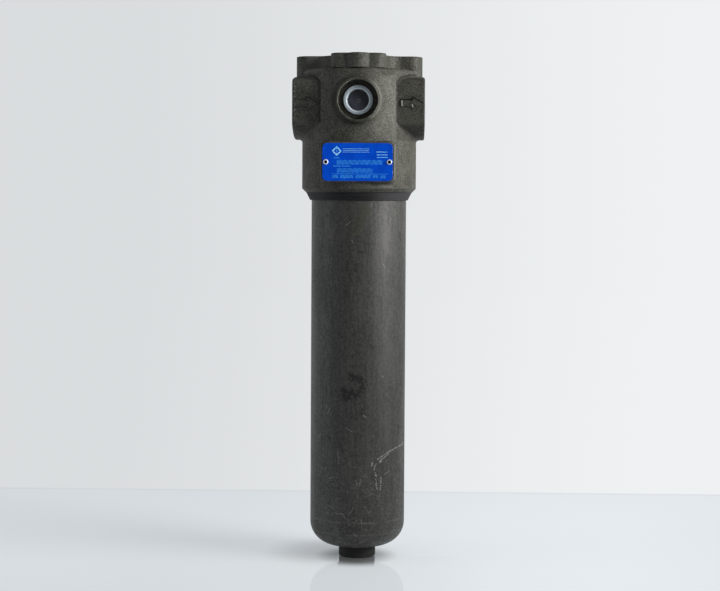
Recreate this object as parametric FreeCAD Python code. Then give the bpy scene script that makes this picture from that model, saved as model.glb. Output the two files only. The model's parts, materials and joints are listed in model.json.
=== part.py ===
"""Hydraulic pressure filter: a cast head, a screwed steel bowl and the filter element inside.

Millimetres, +Z up. The origin is the centre of the flat end of the bowl's stub, on which the
filter stands. The front, with the name plate, faces -Y. Oil enters at -X and leaves at +X.
"""
import FreeCAD, Part
import math
import os

V = FreeCAD.Vector
ALONG_X = V(1, 0, 0)
ALONG_Y = V(0, 1, 0)
ALONG_Z = V(0, 0, 1)

# Clearances
LOOSE_GAP = 0.3
RUNNING_GAP = 0.05
SEAL_GAP = 0.15

# How far a cutting tool starts outside the material, and how closely an edge is matched
OVERCUT = 1.0
NEAR = 0.01

# Bowl
BOWL_R = 45.0
BOWL_WALL = 7.0
BOWL_CORNER_R = 22.0
BOWL_FLOOR = 8.0
BOWL_SHOULDER_EDGE_R = 0.3
BOWL_MOUTH_EDGE_R = 0.5
DIRT_SPACE = 41.9
STUB_R = 17.5
STUB_HEIGHT = 12.0
STUB_EDGE_R = 1.2

# Screw joint between the bowl and the head
THREAD_DEPTH = 1.3
THREAD_LENGTH = 20.0
ENTRY_DEPTH = 2.0
THREAD_RELIEF = 2.0
THREAD_END_R = 0.5
NOSE_STEP = 1.45
NOSE_EDGE_R = 0.8
GROOVE_LOWER_LAND = 1.2
GROOVE_WIDTH = 5.6
GROOVE_DEPTH = 2.8
GROOVE_LAND = 2.2
BACKUP_THICK = 1.3
SEAL_ROUNDING = 0.45

# Head casting
HEAD_WALL = 9.1
HEAD_TOP_R = 3.0
BODY_HEIGHT = 122.2
MOUTH_WALL = 1.5
CONE_FLARE = 3.4
CONE_HEIGHT = 6.8
CHAMFER_HEIGHT = 4.2
CHAMFER_EDGE_R = 0.5
CHAMBER_ABOVE_PORT = 16.0
CHAMBER_CORNER_R = 8.0
CAST_FILLET_R = 3.0
PLATE_PAD_FILLET_R = 2.0

# Top mounting pad
PAD_THICK = 13.3
PAD_EDGE_R = 0.8
BLOCK_HALF_X = 25.5
BLOCK_HALF_Y = 51.0
BLOCK_CORNER_R = 10.0
ARM_HALF_WIDTH = 13.0
ARM_END_R = 12.3
ARM_BEYOND_HOLE = 12.7
ARM_ROOT_R = 15.0
LOBE_R = 10.0
LOBE_ROOT_R = 3.0
MOUNT_PCD = 94.0
TAP_DRILL_R = 4.25
TAP_DEPTH = 17.0
TAP_MOUTH = 0.4

# Side ports
PORT_ABOVE_FACE = 87.0
PORT_PROUD = 7.5
PORT_HALF_WIDTH = 40.0
PORT_ABOVE_AXIS = 29.4
PORT_BELOW_AXIS = 29.9
PORT_TOP_CORNER_R = 7.0
PORT_TOP_SLOPE = 7.0
PORT_RIDGE_R = 150.0
PORT_BELLY_R = 70.0
PORT_BELLY_CORNER_R = 7.0
INLET_EDGE_R = 2.5
OUTLET_EDGE_R = 1.2
PORT_THREAD_R = 15.15
PORT_THREAD_DEPTH = 21.0
PORT_MOUTH = 1.0
SPOTFACE_WIDTH = 5.35
SPOTFACE_DEPTH = 0.7
PASSAGE_R = 13.5
DUCT_WALL = 5.5

# Flow arrows
ARROW_LENGTH = 21.0
ARROW_MARGIN = 0.5
ARROW_HEAD_LENGTH = 10.0
ARROW_HEAD_HALF = 5.9
ARROW_SHAFT_HALF = 3.0
ARROW_RAISED = 0.8
ARROW_ABOVE_AXIS = 2.8

# Indicator port
INDICATOR_ABOVE_FACE = 92.3
INDICATOR_PROUD = 3.4
INDICATOR_FLARE = 3.1
INDICATOR_RIM_WALL = 2.6
INDICATOR_RIM_EDGE_R = 0.8
COUNTERBORE_STEP = 7.1
COUNTERBORE_DEPTH = 9.0
INDICATOR_BORE_R = 11.2
INDICATOR_BORE_DEPTH = 17.0
INDICATOR_WALL = 4.5
SENSE_HOLE_R = 2.5
SENSE_SETBACK = 1.0

# Name plate and its pad
PLATE_ABOVE_FACE = 35.1
PLATE_WIDTH = 64.5
PLATE_HEIGHT = 34.7
PLATE_THICK = 0.8
PLATE_CORNER_R = 4.5
PLATE_PAD_PROUD = 2.4
PLATE_PAD_MARGIN = 1.0
PLATE_PAD_DRAFT = 2.2
PLATE_PAD_ROOT = 1.0
RIVET_FROM_EDGE = 3.05
RIVET_HEAD_R = 2.45
RIVET_HEAD_HEIGHT = 1.1
RIVET_DOME_R = 0.75
RIVET_SHANK_R = 1.7
RIVET_HOLE_R = 1.2
RIVET_LENGTH = 7.0

# Shipping plugs
PLUG_WALL = 0.9
PLUG_TAPER = 0.4
PLUG_FLOOR = 1.2
PLUG_MOUTH = 1.3
PLUG_RIM = 2.4
PLUG_RIM_EDGE_R = 0.5
PLUG_MOUTH_EDGE_R = 0.2
PLUG_TIP_EDGE_R = 0.6
PLUG_FLOOR_EDGE_R = 0.5
GATE_R = 1.0
GATE_HEIGHT = 0.5
INDICATOR_PLUG_FLANGE = 1.6
INDICATOR_PLUG_DEPTH = 14.0
OUTLET_PLUG_FLANGE = 1.2
OUTLET_PLUG_DEPTH = 15.0

# Outlet column and its spigot
COLUMN_ABOVE_FACE = 56.5
COLUMN_WALL = 6.0
COLUMN_BORE_R = 14.0
SPIGOT_R = 15.0
SPIGOT_BORE_R = 11.0
SPIGOT_RIM = 1.5
SPIGOT_FLANGE = 3.0
SPIGOT_NECK = 10.0
SPIGOT_CHAMFER = 1.0

# Bypass valve, which fills the space between the spigot and the chamber's wall
BYPASS_TO_SPIGOT = 0.6
BYPASS_TO_WALL = 0.5
BYPASS_BOSS_WALL = 4.5
BYPASS_RIM = 1.7
BYPASS_FLANGE = 3.0
BYPASS_BORE_WALL = 1.4
BYPASS_LIP = 2.2
SEAT_LAND = 1.3
SEAL_LAND = 0.9
SEAT_SEAL_WIDTH = 1.7
SEAT_SEAL_DEPTH = 1.3
POPPET_TO_WALL = 1.15
POPPET_THICK = 2.0
POPPET_NOSE = 1.2
POPPET_EDGE_R = 0.4
STEM_R = 2.2
STEM_END_R = 0.5
SPRING_WIRE_R = 0.6
SPRING_COILS = 5
SPRING_HEIGHT = 10.5
SPRING_PLATE_THICK = 1.4
SPRING_PLATE_HOLE_SHARE = 0.5
SPRING_PLATE_HOLES = 6
CIRCLIP_THICK = 1.0
CIRCLIP_GROOVE = 0.7
CIRCLIP_WIDTH = 1.6
CIRCLIP_OPENING = 4.0
STEM_ABOVE_PLATE = 1.0

# Filter element
ELEMENT_LENGTH = 330.0
ELEMENT_TO_BOWL = 4.0
CAP_SHEET = 0.8
CAP_EDGE_R = 1.5
CAP_SKIRT = 8.0
CAP_DISC = 3.0
HUB_WALL = 5.0
HUB_HEIGHT = 14.0
HUB_EDGE_R = 1.0
HUB_TO_BYPASS = 1.8
HUB_SEAL_WIDTH = 4.0
HUB_SEAL_DEPTH = 2.4
CORE_R = 16.5
CORE_SHEET = 0.8
CORE_HOLE_R = 4.0
CORE_HOLE_COUNT = 6
CORE_ROW_PITCH = 32.0
CORE_END_MARGIN = 22.0
PLEATS = 40
PLEAT_THICK = 0.5
PLEAT_TIP_SHARE = 0.4
DIMPLE_R = 9.0
DIMPLE_DEPTH = 3.0
DIMPLE_EDGE_R = 1.0

# Heights worked out from the sizes above
HUB_ABOVE_FACE = COLUMN_ABOVE_FACE - BYPASS_FLANGE - HUB_TO_BYPASS
BOWL_BELOW_HEAD = ELEMENT_LENGTH - HUB_ABOVE_FACE + DIRT_SPACE + BOWL_FLOOR
HEAD_FACE = STUB_HEIGHT + BOWL_BELOW_HEAD
BODY_TOP = HEAD_FACE + BODY_HEIGHT
PAD_TOP = BODY_TOP + PAD_THICK
PORT_Z = HEAD_FACE + PORT_ABOVE_FACE
INDICATOR_Z = HEAD_FACE + INDICATOR_ABOVE_FACE
PLATE_Z = HEAD_FACE + PLATE_ABOVE_FACE
CHAMBER_TOP_Z = PORT_Z + CHAMBER_ABOVE_PORT
COLUMN_Z = HEAD_FACE + COLUMN_ABOVE_FACE
BYPASS_Z = COLUMN_Z
SHOULDER_Z = HEAD_FACE + ENTRY_DEPTH / 2
THREAD_TOP_Z = SHOULDER_Z + THREAD_LENGTH
NOSE_Z = THREAD_TOP_Z + THREAD_RELIEF
GROOVE_Z = NOSE_Z + GROOVE_LOWER_LAND
GROOVE_TOP_Z = GROOVE_Z + GROOVE_WIDTH
NOSE_TOP_Z = GROOVE_TOP_Z + GROOVE_LAND
SOCKET_TOP_Z = NOSE_TOP_Z + LOOSE_GAP
SEAT_Z = BYPASS_Z + SEAL_LAND + SEAT_SEAL_WIDTH + LOOSE_GAP
SPRING_Z = SEAT_Z + POPPET_THICK
SPRING_PLATE_Z = SPRING_Z + SPRING_HEIGHT
CIRCLIP_Z = SPRING_PLATE_Z + SPRING_PLATE_THICK
BYPASS_TOP_Z = CIRCLIP_Z + CIRCLIP_THICK + BYPASS_LIP
HUB_TOP_Z = HEAD_FACE + HUB_ABOVE_FACE
CAP_TOP_Z = HUB_TOP_Z - HUB_HEIGHT
CAP_BOTTOM_Z = CAP_TOP_Z - CAP_DISC
SPIGOT_END_Z = CAP_TOP_Z + LOOSE_GAP
HUB_SEAL_Z = CAP_TOP_Z + (HUB_HEIGHT - HUB_SEAL_WIDTH) / 2
ELEMENT_BOTTOM_Z = HUB_TOP_Z - ELEMENT_LENGTH
ELEMENT_FLOOR_Z = ELEMENT_BOTTOM_Z + CAP_DISC

# Radii and reaches worked out from the sizes above
BOWL_INNER_R = BOWL_R - BOWL_WALL
HEAD_R = BOWL_R + HEAD_WALL
CONE_BOTTOM_R = BOWL_R + MOUTH_WALL
CONE_TOP_R = CONE_BOTTOM_R + CONE_FLARE
THREAD_MEAN_R = BOWL_R - THREAD_DEPTH / 2
NOSE_R = THREAD_MEAN_R - NOSE_STEP
SOCKET_SEAL_R = NOSE_R + LOOSE_GAP
GROOVE_R = NOSE_R - GROOVE_DEPTH
CHAMBER_R = BOWL_INNER_R
PORT_FACE_X = HEAD_R + PORT_PROUD
SPOTFACE_R = PORT_THREAD_R + SPOTFACE_WIDTH
COUNTERBORE_R = INDICATOR_BORE_R + COUNTERBORE_STEP
INDICATOR_RIM_R = COUNTERBORE_R + INDICATOR_RIM_WALL
INDICATOR_RIM_Y = -(HEAD_R + INDICATOR_PROUD)
INDICATOR_FLOOR_Y = INDICATOR_RIM_Y + COUNTERBORE_DEPTH
INDICATOR_END_Y = INDICATOR_FLOOR_Y + INDICATOR_BORE_DEPTH
PLATE_BACK_Y = -(HEAD_R + PLATE_PAD_PROUD)
PLATE_FRONT_Y = PLATE_BACK_Y - PLATE_THICK
RIVET_X = PLATE_WIDTH / 2 - RIVET_FROM_EDGE
MOUNT_R = MOUNT_PCD / 2
COLUMN_R = COLUMN_BORE_R + COLUMN_WALL
DUCT_R = PASSAGE_R + DUCT_WALL
SPIGOT_FLANGE_R = SPIGOT_R + SPIGOT_RIM
BYPASS_FLANGE_R = (CHAMBER_R - BYPASS_TO_WALL - BYPASS_TO_SPIGOT - SPIGOT_FLANGE_R) / 2
BYPASS_X = CHAMBER_R - BYPASS_TO_WALL - BYPASS_FLANGE_R
BYPASS_BORE_R = BYPASS_FLANGE_R - BYPASS_RIM
BYPASS_BOSS_R = BYPASS_BORE_R + BYPASS_BOSS_WALL
BYPASS_BODY_R = BYPASS_BORE_R - RUNNING_GAP
BYPASS_INNER_R = BYPASS_BODY_R - BYPASS_BORE_WALL
CIRCLIP_GROOVE_R = BYPASS_INNER_R + CIRCLIP_GROOVE
POPPET_R = BYPASS_INNER_R - POPPET_TO_WALL
SEAT_HOLE_R = POPPET_R - SEAT_LAND
SPRING_MEAN_R = (STEM_R + BYPASS_INNER_R) / 2
HUB_BORE_R = SPIGOT_R + LOOSE_GAP
HUB_SEAL_R = HUB_BORE_R + HUB_SEAL_DEPTH
CAP_R = BOWL_INNER_R - ELEMENT_TO_BOWL
CAP_INNER_R = CAP_R - CAP_SHEET
CORE_INNER_R = CORE_R - CORE_SHEET
MEDIA_R = CAP_INNER_R - LOOSE_GAP
MEDIA_INNER_R = CORE_R + LOOSE_GAP


def outline(corners):
    """Closed wire in the XY plane through (x, y, radius) corners, each rounded by a tangent arc."""
    count = len(corners)
    arcs = []
    for index, (x, y, radius) in enumerate(corners):
        here = V(x, y, 0)
        before = V(*corners[index - 1][:2], 0) - here
        after = V(*corners[(index + 1) % count][:2], 0) - here
        before.normalize()
        after.normalize()
        half_angle = before.getAngle(after) / 2
        reach = radius / math.tan(half_angle)
        middle = (before + after).normalize() * (radius / math.sin(half_angle) - radius)
        arcs.append((here + before * reach, here + middle, here + after * reach, radius))
    edges = []
    for index, (start, middle, end, radius) in enumerate(arcs):
        if radius > 0:
            edges.append(Part.Arc(start, middle, end).toShape())
        next_start = arcs[(index + 1) % count][0]
        if end.distanceToPoint(next_start) > NEAR:
            edges.append(Part.LineSegment(end, next_start).toShape())
    return Part.Wire(edges)


def square(points):
    """Corners without rounding."""
    return [(x, y, 0) for x, y in points]


def upright(shape):
    """Turn a shape drawn in the XY plane so that it stands in the XZ plane."""
    standing = shape.copy()
    standing.rotate(V(0, 0, 0), ALONG_X, 90)
    return standing


def turned(corners, x=0, y=0):
    """Solid turned about a vertical axis from (radius, height, corner radius) corners."""
    solid = upright(Part.Face(outline(corners))).revolve(V(0, 0, 0), ALONG_Z, 360)
    solid.translate(V(x, y, 0))
    return solid


def turned_along(corners, axis, start):
    """Solid turned from (radius, distance, corner radius) corners, its axis laid along axis at start."""
    solid = turned(corners)
    solid.Placement = FreeCAD.Placement(start, FreeCAD.Rotation(ALONG_Z, axis))
    return solid


def rod(radius, start, end):
    """Cylinder between two points."""
    axis = end - start
    return Part.makeCylinder(radius, axis.Length, start, axis)


def upright_rod(radius, bottom, top, x=0, y=0):
    return rod(radius, V(x, y, bottom), V(x, y, top))


def rectangle(width, height, corner_r):
    """Corners of a centred rounded rectangle."""
    half_w = width / 2
    half_h = height / 2
    return [(half_w, half_h, corner_r), (-half_w, half_h, corner_r),
            (-half_w, -half_h, corner_r), (half_w, -half_h, corner_r)]


def front_wire(corners, y, z):
    """Wire of corners drawn in the front view, placed at depth y and height z."""
    wire = upright(outline(corners))
    wire.translate(V(0, y, z))
    return wire


def round_edges(shape, radius, chosen):
    """Round the edges whose middle point passes the test chosen."""
    edges = [edge for edge in shape.Edges if chosen(edge.CenterOfMass)]
    return shape.makeFillet(radius, edges)


def blended(body, boss, radius, near_boss):
    """Fuse a boss to the turned body and put a cast fillet along its seam with the cylinder."""
    joined = body.fuse(boss).removeSplitter()
    seam = []
    for edge in joined.Edges:
        on_cylinder = all(abs(math.hypot(p.x, p.y) - HEAD_R) < NEAR for p in edge.discretize(5))
        if on_cylinder and near_boss(edge.CenterOfMass):
            seam.append(edge)
    return joined.makeFillet(radius, seam)


def head_body():
    """The turned outer shape: machined cone at the mouth, chamfer, cylinder with a soft top edge."""
    cone_top = HEAD_FACE + CONE_HEIGHT
    return turned([
        (0, HEAD_FACE, 0), (CONE_BOTTOM_R, HEAD_FACE, 0), (CONE_TOP_R, cone_top, 0),
        (HEAD_R, cone_top + CHAMFER_HEIGHT, CHAMFER_EDGE_R), (HEAD_R, BODY_TOP, HEAD_TOP_R),
        (0, BODY_TOP, 0)])


def pad_outline():
    """Plan of the mounting pad: a block with an arm to each side."""
    arm_x = MOUNT_R + ARM_BEYOND_HOLE
    quarter = [(arm_x, ARM_HALF_WIDTH, ARM_END_R), (BLOCK_HALF_X, ARM_HALF_WIDTH, ARM_ROOT_R),
               (BLOCK_HALF_X, BLOCK_HALF_Y, BLOCK_CORNER_R)]
    right_back = quarter
    left_back = [(-x, y, r) for x, y, r in reversed(quarter)]
    left_front = [(-x, -y, r) for x, y, r in quarter]
    right_front = [(x, -y, r) for x, y, r in reversed(quarter)]
    return right_back + left_back + left_front + right_front


def mounting_pad():
    """Pad with four lobes, one round each tapped hole. The arms run down into the port bosses."""
    plan = Part.Face(outline(pad_outline()))
    plan.translate(V(0, 0, BODY_TOP))
    pad = plan.extrude(V(0, 0, PAD_THICK))
    for side in (-1, 1):
        pad = pad.fuse(upright_rod(LOBE_R, BODY_TOP, PAD_TOP, 0, side * MOUNT_R))
    lobe_x = math.sqrt(LOBE_R ** 2 - (BLOCK_HALF_Y - MOUNT_R) ** 2)
    pad = round_edges(pad.removeSplitter(), LOBE_ROOT_R, lambda p: (
        abs(abs(p.y) - BLOCK_HALF_Y) < NEAR and abs(abs(p.x) - lobe_x) < NEAR))
    pad = round_edges(pad, PAD_EDGE_R, lambda p: abs(p.z - PAD_TOP) < NEAR)
    arm_x = MOUNT_R + ARM_BEYOND_HOLE
    arm = Part.Face(outline(rectangle(2 * arm_x, 2 * ARM_HALF_WIDTH, ARM_END_R)))
    arm.translate(V(0, 0, PORT_Z))
    return pad.fuse(arm.extrude(V(0, 0, BODY_TOP - PORT_Z)))


def port_boss(side, edge_r):
    """Boss with a low ridged top, flat sides and a bellied underside, rounded where its face meets them."""
    slope = math.radians(PORT_TOP_SLOPE)
    ridge = PORT_ABOVE_AXIS + PORT_RIDGE_R * (1 / math.cos(slope) - 1)
    shoulder = ridge - PORT_HALF_WIDTH * math.tan(slope)
    section = Part.Face(outline([
        (PORT_HALF_WIDTH, shoulder, PORT_TOP_CORNER_R), (0, ridge, PORT_RIDGE_R),
        (-PORT_HALF_WIDTH, shoulder, PORT_TOP_CORNER_R), (-PORT_HALF_WIDTH, -PORT_BELLY_R, 0),
        (PORT_HALF_WIDTH, -PORT_BELLY_R, 0)]))
    belly = Part.Face(Part.Wire(Part.makeCircle(PORT_BELLY_R, V(0, PORT_BELLY_R - PORT_BELOW_AXIS, 0))))
    section = section.common(belly).Faces[0]
    boss = section.extrude(V(0, 0, PORT_FACE_X))
    turn = FreeCAD.Rotation(V(0, 1, 0), V(0, 0, 1), V(1, 0, 0), "ZXY")
    boss.Placement = FreeCAD.Placement(V(0, 0, PORT_Z), turn)
    if side < 0:
        boss.rotate(V(0, 0, 0), ALONG_Z, 180)
    boss = round_edges(boss, PORT_BELLY_CORNER_R, lambda p: (
        abs(abs(p.y) - PORT_HALF_WIDTH) < NEAR and abs(p.x) < PORT_FACE_X - NEAR and p.z < PORT_Z
        and abs(p.x) > NEAR))
    return round_edges(boss, edge_r, lambda p: abs(abs(p.x) - PORT_FACE_X) < NEAR)


def flow_arrow(tip_x):
    """Raised arrow on the front of a port boss, pointing along +X."""
    neck_x = tip_x - ARROW_HEAD_LENGTH
    tail_x = tip_x - ARROW_LENGTH
    corners = square([
        (tip_x, 0), (neck_x, ARROW_HEAD_HALF), (neck_x, ARROW_SHAFT_HALF), (tail_x, ARROW_SHAFT_HALF),
        (tail_x, -ARROW_SHAFT_HALF), (neck_x, -ARROW_SHAFT_HALF), (neck_x, -ARROW_HEAD_HALF)])
    face = Part.Face(front_wire(corners, -PORT_HALF_WIDTH - ARROW_RAISED, PORT_Z + ARROW_ABOVE_AXIS))
    return face.extrude(V(0, 2 * ARROW_RAISED, 0))


def plate_pad():
    """Drafted cast pad under the name plate: two crossed wedges and a cone at each corner.

    Its root plane lies just inside the cylinder at the pad's widest place.
    """
    corner_r = PLATE_CORNER_R + PLATE_PAD_MARGIN
    root_r = corner_r + PLATE_PAD_DRAFT
    core_x = PLATE_WIDTH / 2 - PLATE_CORNER_R
    core_z = PLATE_HEIGHT / 2 - PLATE_CORNER_R
    root_y = PLATE_PAD_ROOT - math.sqrt(HEAD_R ** 2 - (core_x + root_r) ** 2)
    depth = root_y - PLATE_BACK_Y

    def wedge(wide, tall):
        """Block whose front is smaller than its root by the draft along x (wide) or z (tall)."""
        ends = []
        for y, reach in ((root_y, root_r), (PLATE_BACK_Y, corner_r)):
            corners = rectangle(2 * (core_x + wide * reach), 2 * (core_z + tall * reach), 0)
            ends.append(front_wire(corners, y, PLATE_Z))
        return Part.makeLoft(ends, True, True)

    cones = []
    for x in (-core_x, core_x):
        for z in (-core_z, core_z):
            cones.append(Part.makeCone(root_r, corner_r, depth, V(x, root_y, PLATE_Z + z), -ALONG_Y))
    return wedge(1, 0).multiFuse([wedge(0, 1)] + cones).removeSplitter()


def indicator_boss():
    """Drafted round boss of the indicator port."""
    start = V(0, -CHAMBER_R, INDICATOR_Z)
    length = -INDICATOR_RIM_Y - CHAMBER_R
    cone = Part.makeCone(INDICATOR_RIM_R + INDICATOR_FLARE, INDICATOR_RIM_R, length, start, -ALONG_Y)
    return round_edges(cone, INDICATOR_RIM_EDGE_R, lambda p: abs(p.y - INDICATOR_RIM_Y) < NEAR)


def socket_and_chamber():
    """Space for the bowl's thread and nose, and the round chamber above it."""
    entry_top = HEAD_FACE + ENTRY_DEPTH
    thread_r = THREAD_MEAN_R + LOOSE_GAP
    entry_r = BOWL_R + 2 * LOOSE_GAP
    socket = turned(square([
        (0, HEAD_FACE - OVERCUT), (entry_r, HEAD_FACE - OVERCUT), (entry_r, entry_top),
        (thread_r, entry_top), (thread_r, NOSE_Z), (SOCKET_SEAL_R, NOSE_Z),
        (SOCKET_SEAL_R, SOCKET_TOP_Z), (0, SOCKET_TOP_Z)]))
    chamber = turned([
        (0, SOCKET_TOP_Z, 0), (CHAMBER_R, SOCKET_TOP_Z, 0),
        (CHAMBER_R, CHAMBER_TOP_Z, CHAMBER_CORNER_R), (0, CHAMBER_TOP_Z, 0)])
    return socket.fuse(chamber)


def inner_walls():
    """Outlet column, duct to the right port, bypass boss and indicator bridge inside the chamber."""
    rooted_r = CHAMBER_R + OVERCUT
    rooted_top = CHAMBER_TOP_Z + OVERCUT
    column = upright_rod(COLUMN_R, COLUMN_Z, rooted_top)
    duct = rod(DUCT_R, V(0, 0, PORT_Z), V(rooted_r, 0, PORT_Z))
    boss = upright_rod(BYPASS_BOSS_R, BYPASS_Z, PORT_Z, BYPASS_X)
    bridge = rod(INDICATOR_BORE_R + INDICATOR_WALL, V(0, -rooted_r, INDICATOR_Z), V(0, 0, INDICATOR_Z))
    walls = column.multiFuse([duct, boss, bridge])
    return walls.common(upright_rod(rooted_r, BYPASS_Z, rooted_top))


def port_bore(side):
    """Spotface, threaded bore with a chamfered mouth."""
    mouth_r = PORT_THREAD_R + PORT_MOUTH
    floor = SPOTFACE_DEPTH + PORT_THREAD_DEPTH
    return turned_along(square([
        (0, -OVERCUT), (SPOTFACE_R, -OVERCUT), (SPOTFACE_R, SPOTFACE_DEPTH), (mouth_r, SPOTFACE_DEPTH),
        (PORT_THREAD_R, SPOTFACE_DEPTH + PORT_MOUTH), (PORT_THREAD_R, floor), (0, floor)]),
        V(-side, 0, 0), V(side * PORT_FACE_X, 0, PORT_Z))


def port_passages():
    """Way in from the inlet to the chamber, and way out from the column to the outlet."""
    inner_x = PORT_FACE_X - PORT_THREAD_DEPTH
    column_side_x = COLUMN_R + OVERCUT
    return [port_bore(-1), port_bore(1),
            rod(PASSAGE_R, V(0, 0, PORT_Z), V(inner_x, 0, PORT_Z)),
            rod(PASSAGE_R, V(-inner_x, 0, PORT_Z), V(-column_side_x, 0, PORT_Z)),
            upright_rod(COLUMN_BORE_R, COLUMN_Z - OVERCUT, PORT_Z + PASSAGE_R),
            upright_rod(BYPASS_BORE_R, BYPASS_Z - OVERCUT, PORT_Z, BYPASS_X)]


def indicator_bore():
    """Counterbore and bore of the indicator port, with a hole to the outlet and one to the inlet side."""
    rim = V(0, INDICATOR_RIM_Y - OVERCUT, INDICATOR_Z)
    floor = V(0, INDICATOR_FLOOR_Y, INDICATOR_Z)
    end = V(0, INDICATOR_END_Y, INDICATOR_Z)
    sense_y = INDICATOR_END_Y - SENSE_HOLE_R - SENSE_SETBACK
    sense_bottom = INDICATOR_Z - INDICATOR_BORE_R - INDICATOR_WALL - OVERCUT
    return [rod(COUNTERBORE_R, rim, floor), rod(INDICATOR_BORE_R, rim, end),
            rod(SENSE_HOLE_R, floor, V(0, 0, INDICATOR_Z)),
            upright_rod(SENSE_HOLE_R, sense_bottom, INDICATOR_Z, 0, sense_y)]


def tapped_hole(x, y):
    """Blind hole in the mounting pad with a drill point and a chamfered mouth."""
    bottom = PAD_TOP - TAP_DEPTH
    mouth_r = TAP_DRILL_R + TAP_MOUTH
    return turned(square([
        (0, bottom - TAP_DRILL_R / 2), (TAP_DRILL_R, bottom), (TAP_DRILL_R, PAD_TOP - TAP_MOUTH),
        (mouth_r, PAD_TOP), (mouth_r, PAD_TOP + OVERCUT), (0, PAD_TOP + OVERCUT)]), x, y)


def rivet_hole(side, from_y, to_y):
    """Drilled hole for one of the name plate's rivets."""
    x = side * RIVET_X
    return rod(RIVET_SHANK_R + RUNNING_GAP, V(x, from_y, PLATE_Z), V(x, to_y, PLATE_Z))


def passages():
    """Everything that is drilled or cored through the head."""
    cuts = port_passages() + indicator_bore()
    for x, y in ((MOUNT_R, 0), (0, MOUNT_R), (-MOUNT_R, 0), (0, -MOUNT_R)):
        cuts.append(tapped_hole(x, y))
    for side in (-1, 1):
        cuts.append(rivet_hole(side, PLATE_BACK_Y - OVERCUT, PLATE_BACK_Y + RIVET_LENGTH))
    return cuts


def head_outside():
    """The outside of the casting: the turned body with its blended bosses, the pad and the arrows."""
    below_top = BODY_TOP - HEAD_TOP_R - NEAR
    above_plate = PLATE_Z + PLATE_HEIGHT
    body = head_body()
    for side, edge_r in ((-1, INLET_EDGE_R), (1, OUTLET_EDGE_R)):
        body = blended(body, port_boss(side, edge_r), CAST_FILLET_R, lambda p, side=side: (
            side * p.x > 0 and above_plate < p.z < below_top))
    body = blended(body, indicator_boss(), CAST_FILLET_R, lambda p: (
        p.y < 0 and abs(p.x) < INDICATOR_RIM_R and above_plate < p.z < below_top))
    body = blended(body, plate_pad(), PLATE_PAD_FILLET_R, lambda p: (
        p.y < 0 and abs(p.z - PLATE_Z) < PLATE_HEIGHT and p.z > HEAD_FACE + CONE_HEIGHT + CHAMFER_HEIGHT))
    outlet_tip_x = PORT_FACE_X - OUTLET_EDGE_R - ARROW_MARGIN
    inlet_tip_x = ARROW_LENGTH + ARROW_MARGIN + INLET_EDGE_R - PORT_FACE_X
    return body.multiFuse([mounting_pad(), flow_arrow(outlet_tip_x), flow_arrow(inlet_tip_x)])


def head_casting():
    """The casting: outside, then the space inside, its inner walls and the passages."""
    hollow = head_outside().cut(socket_and_chamber())
    walled = hollow.fuse(inner_walls())
    return walled.cut(passages()).removeSplitter()


def bowl():
    """Closed tube with a rounded bottom and stub, a threaded neck and a grooved nose."""
    inner_corner = BOWL_CORNER_R - BOWL_WALL
    inner_floor_z = STUB_HEIGHT + BOWL_FLOOR
    relief_r = NOSE_R - LOOSE_GAP
    return turned([
        (0, 0, 0), (STUB_R, 0, STUB_EDGE_R), (STUB_R, STUB_HEIGHT, STUB_EDGE_R),
        (BOWL_R, STUB_HEIGHT, BOWL_CORNER_R), (BOWL_R, SHOULDER_Z, BOWL_SHOULDER_EDGE_R),
        (THREAD_MEAN_R, SHOULDER_Z, 0), (THREAD_MEAN_R, THREAD_TOP_Z, THREAD_END_R),
        (relief_r, THREAD_TOP_Z, 0), (relief_r, NOSE_Z, 0), (NOSE_R, NOSE_Z, 0), (NOSE_R, GROOVE_Z, 0),
        (GROOVE_R, GROOVE_Z, 0), (GROOVE_R, GROOVE_TOP_Z, 0), (NOSE_R, GROOVE_TOP_Z, 0),
        (NOSE_R, NOSE_TOP_Z, NOSE_EDGE_R), (BOWL_INNER_R, NOSE_TOP_Z, BOWL_MOUTH_EDGE_R),
        (BOWL_INNER_R, inner_floor_z, inner_corner), (0, inner_floor_z, 0)])


def seal_ring(inner_r, outer_r, bottom, top, x=0):
    """Soft ring whose section is rounded as far as its smaller side allows."""
    corner_r = SEAL_ROUNDING * min(outer_r - inner_r, top - bottom)
    return turned([(inner_r, bottom, corner_r), (outer_r, bottom, corner_r),
                   (outer_r, top, corner_r), (inner_r, top, corner_r)], x)


def bowl_backup_ring():
    """Flat plastic ring under the O-ring in the bowl's groove."""
    bottom = GROOVE_Z + SEAL_GAP
    top = bottom + BACKUP_THICK
    inner_r = GROOVE_R + SEAL_GAP
    outer_r = SOCKET_SEAL_R - SEAL_GAP
    return turned(square([(inner_r, bottom), (outer_r, bottom), (outer_r, top), (inner_r, top)]))


def bowl_o_ring():
    bottom = GROOVE_Z + SEAL_GAP + BACKUP_THICK
    return seal_ring(GROOVE_R + SEAL_GAP, SOCKET_SEAL_R - SEAL_GAP, bottom, GROOVE_TOP_Z - SEAL_GAP)


def name_plate():
    """Thin plate with rounded corners and two rivet holes."""
    corners = rectangle(PLATE_WIDTH, PLATE_HEIGHT, PLATE_CORNER_R)
    plate = Part.Face(front_wire(corners, PLATE_BACK_Y, PLATE_Z)).extrude(V(0, -PLATE_THICK, 0))
    return plate.cut([rivet_hole(side, PLATE_BACK_Y + OVERCUT, PLATE_FRONT_Y - OVERCUT) for side in (-1, 1)])


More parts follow.
